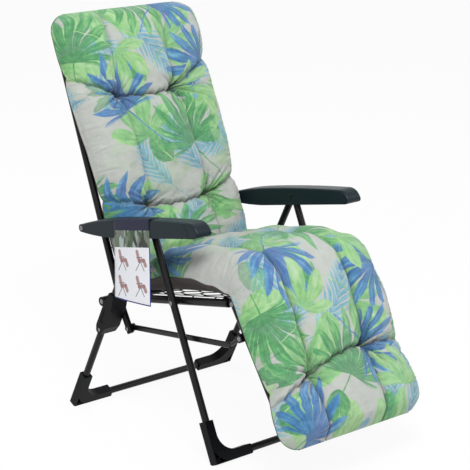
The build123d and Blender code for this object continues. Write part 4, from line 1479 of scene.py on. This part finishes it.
@dataclass
class Cushion:
    """One closed length of the cushion: printed top, lining below, a sewn bead between.

    Attributes:
        name: Name of the piece.
        shape: Its formula.
        path: Its line.
        floor: Height of its underside over the tubes' plane.
        flat_half: Table of place and half width of the underside's flat part.
        flat_share: Share of the underside's points that lie on that part.
        top_points: Points across the top.
        low_points: Points across the underside, with the two at the seams.
        open_end: Length over which its free end closes.
        end_share: Share of its height that the last section keeps.
        cap_shares: Sizes of the rings that close both ends.
        bead: How far the sewn edge stands out.
        merge: Distance under which doubled points become one.
    """

    name: str
    shape: CushionShape
    path: CushionPath
    floor: float = 0.0108
    flat_half: Table = ((0.0, 0.200), (1.0, 0.200))
    flat_share: float = 0.62
    top_points: int = 181
    low_points: int = 33
    open_end: float = 0.042
    end_share: float = 0.06
    cap_shares: tuple[float, ...] = (0, 0.5, 0.85)
    bead: float = 0.0022
    merge: float = 0.00003

    def lining_ring(self, half: np.ndarray, seam: np.ndarray,
                    close: np.ndarray) -> tuple[np.ndarray, np.ndarray]:
        """Points of the underside, with the bead's small bulge at both ends.

        Args:
            half: Half width of each section.
            seam: Height of each section's seam.
            close: Share of its height that each section keeps.

        Returns:
            Places across and heights, both of shape (sections, points).
        """
        turn = np.linspace(-1, 1, self.low_points)[1:-1]
        side = np.clip((np.abs(turn) - self.flat_share) / (1 - self.flat_share), 0, 1)
        flat = eased(self.flat_half, self.path.place)[0][:, None]
        x = -np.sign(turn) * np.where(side > 0, flat + (half - flat) * side ** 0.8,
                                      np.minimum(flat, half) * np.abs(turn) / self.flat_share)
        low = self.floor + (seam - self.floor) * side ** 1.5
        low = seam + (low - seam) * close
        bead_x = half + self.bead * np.array((0.7, 1.0, 0.5))
        bead_z = seam + self.bead * np.array((0.5, -0.3, -0.9))
        x = np.concatenate((bead_x, x, -bead_x[:, ::-1]), 1)
        low = np.concatenate((bead_z, low, bead_z[:, ::-1]), 1)
        return x, low

    def surface(self) -> dict[str, np.ndarray]:
        """Work out the closed surface.

        Returns:
            Arrays by name, all of shape (sections, ring) with a last axis for points and cloth.
        """
        even = np.linspace(-1, 1, self.top_points)
        across = 0.55 * even + 0.45 * np.sin(even * math.pi / 2)
        place = self.path.place
        half = self.shape.half_width(place)[:, None]
        seam = eased(self.shape.rows, place)[1][:, None]
        u, s = np.meshgrid(across, place, indexing="xy")
        top, crease = self.shape.top(u, s)
        left = np.clip((place[-1] - place) / self.open_end, 0, 1)
        close = np.maximum(np.sqrt(1 - np.square(1 - left)), self.end_share)[:, None]
        x_top = u * half
        top = seam + (top - seam) * close
        x_low, low = self.lining_ring(half, seam, close)
        x = np.concatenate((x_top, x_low), 1)
        height = np.concatenate((top, low), 1) * self.path.stretch[:, None]
        points = (self.path.base[:, None] + x[..., None] * ACROSS
                  + height[..., None] * self.path.upright[:, None])
        step = np.linalg.norm(np.diff(points[:, :len(across)], axis=1), axis=2)
        girth = np.concatenate((np.zeros((len(place), 1)), np.cumsum(step, 1)), 1)
        girth -= girth[:, len(across) // 2, None]
        cloth_x = np.concatenate((girth, x_low), 1)
        return {"points": points,
                "cloth": np.stack((cloth_x, np.broadcast_to(place[:, None], x.shape)), -1),
                "crease": np.concatenate((crease, np.zeros_like(x_low)), 1),
                "lining": np.concatenate((np.zeros_like(x_top), np.ones_like(x_low)), 1)}

    def capped(self, values: dict[str, np.ndarray]) -> dict[str, np.ndarray]:
        """Close both ends with rings that shrink to their middles.

        Args:
            values: The surface's arrays by name.

        Returns:
            The same arrays with the rings added.
        """
        count, caps = len(self.cap_shares), []
        for end in (values["points"][:1], values["points"][-1:]):
            centre = end.mean(1, keepdims=True)
            caps.append(np.concatenate([centre + (end - centre) * share
                                        for share in self.cap_shares]))
        closed = {name: np.concatenate((np.repeat(value[:1], count, 0), value,
                                        np.repeat(value[-1:], count, 0)))
                  for name, value in values.items()}
        closed["points"][:count], closed["points"][-count:] = caps[0], caps[1][::-1]
        closed["lining"][:count] = 1
        return closed

    def build(self, cloth: bpy.types.Material, lining: bpy.types.Material) -> bpy.types.Object:
        """Make the cushion length.

        Args:
            cloth: Material of the printed top.
            lining: Material of the underside.

        Returns:
            The cushion, not yet bound to a body.
        """
        values = self.capped(self.surface())
        rows, ring = values["lining"].shape
        faces = grid_faces(rows, ring, wrap=True)
        made = mesh_object(self.name, values["points"], faces)
        set_uv(made, values["cloth"])
        # The crease attribute carries the painted shade of the creases, channels, tuft pits and
        # folds.
        set_attribute(made, "crease", values["crease"])
        for material in (cloth, lining):
            made.data.materials.append(material)
        below = values["lining"].ravel()[faces].mean(1) > 0.6
        made.data.polygons.foreach_set("material_index", below.astype(np.int32))
        face_outwards(made, self.merge)
        return made


@dataclass
class CushionSet:
    """The one-piece tufted cushion, as two lengths that meet in the seat's crease.

    Attributes:
        layout: Places of the chair.
        spacing: Distance between two sections.
        fan_reach: How far from the seat's crease the sections still lean.
        back_length: Length of the cushion up the back.
        footrest_length: Its length down the footrest.
        knee_length: Length of cloth that goes round the knee.
        back_bend: How far up the back a bend over its joint would reach; no bend is made.
        knee_bend: How far a bend over the knee would reach to either side; no bend is made.
        fill: How tight the cushion is stuffed; not used.
        back_rows: Place, half width, seam height and crown height up the back.
        seat_rows: The same along seat, knee and footrest.
        seat_flat: Place and half width of the underside's flat part there.
        back_drift: Place and shift sideways, because the tied cushion lies a little askew.
        seat_drift: The same along seat, knee and footrest.
        back_stitches: Place and distances of the two sewn channels from the middle.
        seat_stitches: The same along seat, knee and footrest.
        back_tufts: The tuft rows of the back.
        seat_tufts: The tuft row of the footrest.
    """

    layout: Layout
    spacing: float = 0.0030
    fan_reach: float = 0.20
    back_length: float = 0.806
    footrest_length: float = 0.410
    knee_length: float = 0.100
    back_bend: float = 0.16
    knee_bend: float = 0.06
    fill: float = 0.8
    back_rows: Table = (
        (0.000, 0.228, 0.032, 0.088), (0.060, 0.234, 0.034, 0.098), (0.140, 0.238, 0.034, 0.098),
        (0.232, 0.239, 0.032, 0.094), (0.300, 0.240, 0.034, 0.096), (0.400, 0.244, 0.034, 0.097),
        (0.480, 0.248, 0.033, 0.095), (0.600, 0.251, 0.031, 0.092), (0.700, 0.254, 0.032, 0.095),
        (0.770, 0.252, 0.031, 0.088), (0.806, 0.248, 0.028, 0.074))
    seat_rows: Table = (
        (0.000, 0.228, 0.032, 0.086), (0.060, 0.233, 0.040, 0.105), (0.130, 0.237, 0.056, 0.121),
        (0.250, 0.239, 0.066, 0.130), (0.340, 0.240, 0.064, 0.131), (0.430, 0.243, 0.048, 0.127),
        (0.500, 0.242, 0.028, 0.119), (0.550, 0.241, 0.027, 0.112), (0.600, 0.241, 0.027, 0.108),
        (0.670, 0.243, 0.026, 0.105), (0.730, 0.244, 0.026, 0.098), (0.820, 0.241, 0.025, 0.088),
        (0.870, 0.243, 0.025, 0.084), (0.930, 0.249, 0.026, 0.088), (0.975, 0.249, 0.025, 0.080),
        (1.010, 0.246, 0.022, 0.066))
    seat_flat: Table = ((0.0, 0.200), (0.10, 0.165), (0.22, 0.140), (0.36, 0.150),
                        (0.48, 0.200), (1.010, 0.200))
    back_drift: Table = ((0.0, 0.0), (0.35, 0.0), (0.60, -0.010), (0.806, -0.013))
    seat_drift: Table = ((0.0, 0.0), (0.45, 0.0), (0.60, -0.012), (0.82, -0.018),
                         (1.010, -0.028))
    back_stitches: Table = ((0.0, 0.100, 0.098), (0.232, 0.105, 0.100), (0.551, 0.111, 0.086),
                            (0.806, 0.108, 0.084))
    seat_stitches: Table = ((0.0, 0.100, 0.098), (0.35, 0.112, 0.098), (0.60, 0.120, 0.096),
                            (0.820, 0.116, 0.090), (1.010, 0.116, 0.090))
    back_tufts: tuple[TuftRow, ...] = (TuftRow(0.232, 0.28, 0.026, 0.036),
                                       TuftRow(0.551, 0.50, 0.028, 0.040))
    seat_tufts: tuple[TuftRow, ...] = (TuftRow(0.820, 0.24, 0.028, 0.040, 0.012, 0.16),)

    @staticmethod
    def leaning(run: Run, angle: np.ndarray) -> np.ndarray:
        """Return the upright directions of sections that lean along a run by angles."""
        return np.cos(angle)[:, None] * run.normal + np.sin(angle)[:, None] * run.along

    def straight(self, run: Run, end: float, lean: float) -> CushionPath:
        """Sections along one run that fan from a lean at its start to upright.

        Args:
            run: The run.
            end: Last place.
            lean: Lean of the section at place zero, in radians.

        Returns:
            The path.
        """
        place = np.linspace(0.0, end, int(end / self.spacing) + 1)
        angle = lean * np.clip(1 - place / self.fan_reach, 0, 1)
        base = run.origin + place[:, None] * run.along
        return CushionPath(base, self.leaning(run, angle), 1 / np.cos(angle), place)

    def knee(self) -> CushionPath:
        """Sections that turn round the footrest's pivot, an even angle apart.

        Returns:
            The path.
        """
        seat, foot = self.layout.seat, self.layout.footrest
        share = np.linspace(0, 1, int(self.knee_length / self.spacing) + 1)[1:-1]
        angle = share * math.acos(float(seat.along @ foot.along))
        base = np.repeat(foot.origin[None], len(share), 0)
        place = self.layout.seat_length + share * self.knee_length
        return CushionPath(base, self.leaning(seat, angle), np.ones(len(share)), place)

    def seat_path(self, lean: float) -> CushionPath:
        """Join the seat, the knee and the footrest into one path.

        Args:
            lean: Lean of the first section, in radians.

        Returns:
            The path.
        """
        seat = self.straight(self.layout.seat, self.layout.seat_length, lean)
        foot = self.straight(self.layout.footrest, self.footrest_length, 0.0)
        foot.place = foot.place + self.layout.seat_length + self.knee_length
        parts = (seat, self.knee(), foot)
        return CushionPath(*(np.concatenate([getattr(part, name) for part in parts])
                             for name in ("base", "upright", "stretch", "place")))

    @staticmethod
    def drifted(path: CushionPath, table: Table) -> CushionPath:
        """Shift a path's sections sideways.

        Args:
            path: The path.
            table: Places and shifts towards +X.

        Returns:
            The shifted path.
        """
        path.base = path.base + eased(table, path.place)[0][:, None] * ACROSS
        return path

    def bind(self, piece: bpy.types.Object, body: str, start: np.ndarray, end: np.ndarray,
             *pads: str) -> None:
        """Bake a length's place into its points and hide the CAD pads that it stands for.

        Args:
            piece: The cushion length.
            body: Body that it would follow past the joint; not used.
            start: Where the bend would start; not used.
            end: Where the bend would end; not used.
            pads: The CAD pads.
        """
        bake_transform(piece)
        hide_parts(*pads)
        log.info("%s: %d faces", piece.name, len(piece.data.polygons))

    def build(self) -> None:
        """Make both lengths, and hide the CAD pads that they stand for."""
        cloth, lining = PrintedCloth().build(), LiningCloth().build()
        seat, back, foot = self.layout.seat, self.layout.back, self.layout.footrest
        lean = (math.pi - math.acos(float(back.along @ seat.along))) / 2
        back_piece = Cushion(
            "cushion_back",
            CushionShape(self.back_rows, self.back_tufts, self.back_stitches, seed=5),
            self.drifted(self.straight(back, self.back_length, lean), self.back_drift),
        ).build(cloth, lining)
        seat_piece = Cushion(
            "cushion_seat",
            CushionShape(self.seat_rows, self.seat_tufts, self.seat_stitches, channel=0.018,
                         puff=0.012, channel_shade=0.95, seed=11),
            self.drifted(self.seat_path(lean), self.seat_drift), flat_half=self.seat_flat,
        ).build(cloth, lining)
        away = unit(back.along - seat.along) * self.back_bend
        ahead = unit(seat.along + foot.along) * self.knee_bend
        self.bind(back_piece, "back", back.origin, back.origin + away, "back_pad")
        self.bind(seat_piece, "footrest", foot.origin - ahead, foot.origin + ahead,
                  "seat_pad", "footrest_pad")


# Hang card


@dataclass
class HangCard:
    """Printed card folded over the right armrest, bowed a little away from it.

    Attributes:
        layout: Places of the chair.
        start: Its rear edge along the armrest.
        width: Its width.
        drop: Lengths of its rear and front edges below the fold.
        swing: How far its lower edge hangs back, because it hangs plumb from a sloping arm.
        flap: Length of the inner flap.
        outer_x: Distance of the armrest's outer face from the middle.
        inner_x: Distance of its inner face.
        top: Height of the fold over the armrest's pivot.
        side_bow: How far its middle bows out.
        low_bow: How far its lower edge stands out.
        thickness: Thickness of the card.
    """

    layout: Layout
    start: float = 0.162
    width: float = 0.158
    drop: tuple[float, float] = (0.216, 0.236)
    swing: float = 0.038
    flap: float = 0.015
    outer_x: float = 0.2957
    inner_x: float = 0.2423
    top: float = 0.0250
    side_bow: float = 0.004
    low_bow: float = 0.005
    thickness: float = 0.0006

    def build(self) -> None:
        """Make the card and hang it on the armrest's body.

        The sheet goes up behind the armrest for the flap's height, crosses the fold in one step
        and falls outside it, bowed by half a sine across and by a parabola downwards.
        """
        width = np.linspace(0, 1, 25)
        fall = np.concatenate((np.linspace(-self.flap, 0, 4)[:-1], np.linspace(0, 1, 41)))
        down, along = np.meshgrid(fall, width, indexing="ij")
        rear, front = self.drop
        depth = np.where(down < 0, -down, down * (rear + (front - rear) * along))
        below = np.clip(down, 0, 1)
        bow = self.side_bow * np.sin(along * math.pi) * below + self.low_bow * down ** 2
        x = np.where(down < 0, -self.inner_x, -self.outer_x - bow)
        place = self.start + along * self.width - self.swing * below
        points = self.layout.arm.at(x, place, self.top - depth)
        made = mesh_object("hang_card_leaf", points, grid_faces(*points.shape[:2]))
        set_uv(made, np.stack((along * self.width, depth), -1))
        made.data.materials.append(CardPrint(self.width, self.drop).build())
        solid = made.modifiers.new("thickness", "SOLIDIFY")
        solid.thickness = self.thickness
        length = (rear + front) / 2 + self.flap + self.outer_x - self.inner_x
        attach(made, "armrest_right")
        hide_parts("hang_card")
        log.info("hang card: %.3f m of sheet", length)


# Floor, light and camera


@dataclass
class Studio:
    """Plain pale floor, soft light and the photograph's viewpoint.

    Attributes:
        target: Point that the camera looks at.
        azimuth: Camera's bearing round the chair, in degrees.
        elevation: Its height angle, in degrees.
        distance: Its distance from the target.
        focal_pixels: Its focal length in pixels of the photograph.
        daylight: Strength of the world's even light.
        white: Share of plain white in what the camera and mirrors see of the floor.
        reach: Half the side of the floor.
        pale: Darkest and lightest colour of the floor.
        lamps: Name, place, side and power in watts of each lamp.
    """

    target: Point
    azimuth: float = -40.7
    elevation: float = 15.7
    distance: float = 5.0
    focal_pixels: float = 1726.9
    daylight: float = 0.50
    white: float = 0.93
    reach: float = 30.0
    pale: tuple[Colour, Colour] = ((0.80, 0.80, 0.80), (0.82, 0.82, 0.82))
    lamps: tuple[tuple[str, Point, float, float], ...] = (
        ("key", (-1.6, -2.2, 3.6), 1.3, 150.0), ("fill", (2.8, -2.4, 2.0), 2.4, 25.0),
        ("rim", (0.8, 3.0, 3.2), 2.0, 45.0))

    def stand(self, name: str, data: bpy.types.ID, place: Vector) -> bpy.types.Object:
        """Put a lamp or the camera in the scene, turned to the target.

        Args:
            name: Name of the object.
            data: The lamp or the camera.
            place: Where it stands.

        Returns:
            The object.
        """
        made = bpy.data.objects.new(name, data)
        made.location = place
        made.rotation_mode = "QUATERNION"
        made.rotation_quaternion = (Vector(self.target) - place).to_track_quat("-Z", "Y")
        bpy.context.scene.collection.objects.link(made)
        return made

    def camera(self) -> None:
        """Place the camera as the photograph's."""
        turn, tilt = math.radians(self.azimuth), math.radians(self.elevation)
        away = Vector((math.sin(turn) * math.cos(tilt), -math.cos(turn) * math.cos(tilt),
                       math.sin(tilt)))
        lens = bpy.data.cameras.new("camera")
        lens.sensor_width = SENSOR_WIDTH
        lens.lens = self.focal_pixels / PHOTO_PIXELS * SENSOR_WIDTH
        place = Vector(self.target) + away * self.distance
        bpy.context.scene.camera = self.stand("camera", lens, place)

    def floor(self) -> None:
        """Lay the floor, pale in the chair's light and near white where it is seen."""
        corners = np.array(((-1, -1, 0), (1, -1, 0), (1, 1, 0), (-1, 1, 0))) * self.reach
        made = mesh_object("floor", corners, np.array(((0, 1, 2, 3),)))
        graph = SurfaceGraph("pale_floor")
        cloud = graph.noise(graph.coordinates(), 3.0, 2.0)
        graph.finish(graph.mix(cloud, *self.pale), 0.8)
        glow = graph.node("ShaderNodeEmission", inputs={"Color": (1, 1, 1, 1), "Strength": 1.0})
        graph.show(graph.seen() * self.white, Wire(graph, graph.shader.outputs[0]), glow,
                   "Material Output")
        made.data.materials.append(graph.material)

    def sky(self) -> None:
        """Make the world: even light, and white where it is seen."""
        world = bpy.data.worlds.new("soft_daylight")
        world.use_nodes = True
        graph = Graph(world.node_tree)
        graph.tree.nodes.remove(graph.tree.nodes["Background"])
        soft, white = (graph.node("ShaderNodeBackground",
                                  inputs={"Color": (1, 1, 1, 1), "Strength": strength})
                       for strength in (self.daylight, 1.0))
        graph.show(graph.seen(), soft, white, "World Output")
        bpy.context.scene.world = world

    def build(self) -> None:
        """Make world, floor, lamps and camera."""
        bpy.context.scene.view_settings.view_transform = "Standard"
        self.sky()
        self.floor()
        for name, place, side, power in self.lamps:
            light = bpy.data.lights.new(name, "AREA")
            light.size, light.energy = side, power
            self.stand(name, light, Vector(place))
        self.camera()


def main() -> None:
    """Build the scene in order and report each piece."""
    logging.basicConfig(level=logging.INFO, format="%(name)s: %(message)s")
    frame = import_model()
    layout = Layout(frame)
    hardware = Hardware(frame["nodes"])
    hardware.dress()
    for net in (Net("seat", layout.seat, 0.066, 0.448, rows=9),
                Net("back", layout.back, 0.095, 0.735, rows=16),
                Net("footrest", layout.footrest, 0.034, 0.352, rows=8)):
        net.build(hardware.steel)
    CushionSet(layout).build()
    HangCard(layout).build()
    aim_x, aim_ahead, aim_z = CAMERA_AIM
    Studio((aim_x, float(layout.seat.origin[1]) - aim_ahead, aim_z)).build()


if __name__ == "__main__":
    main()
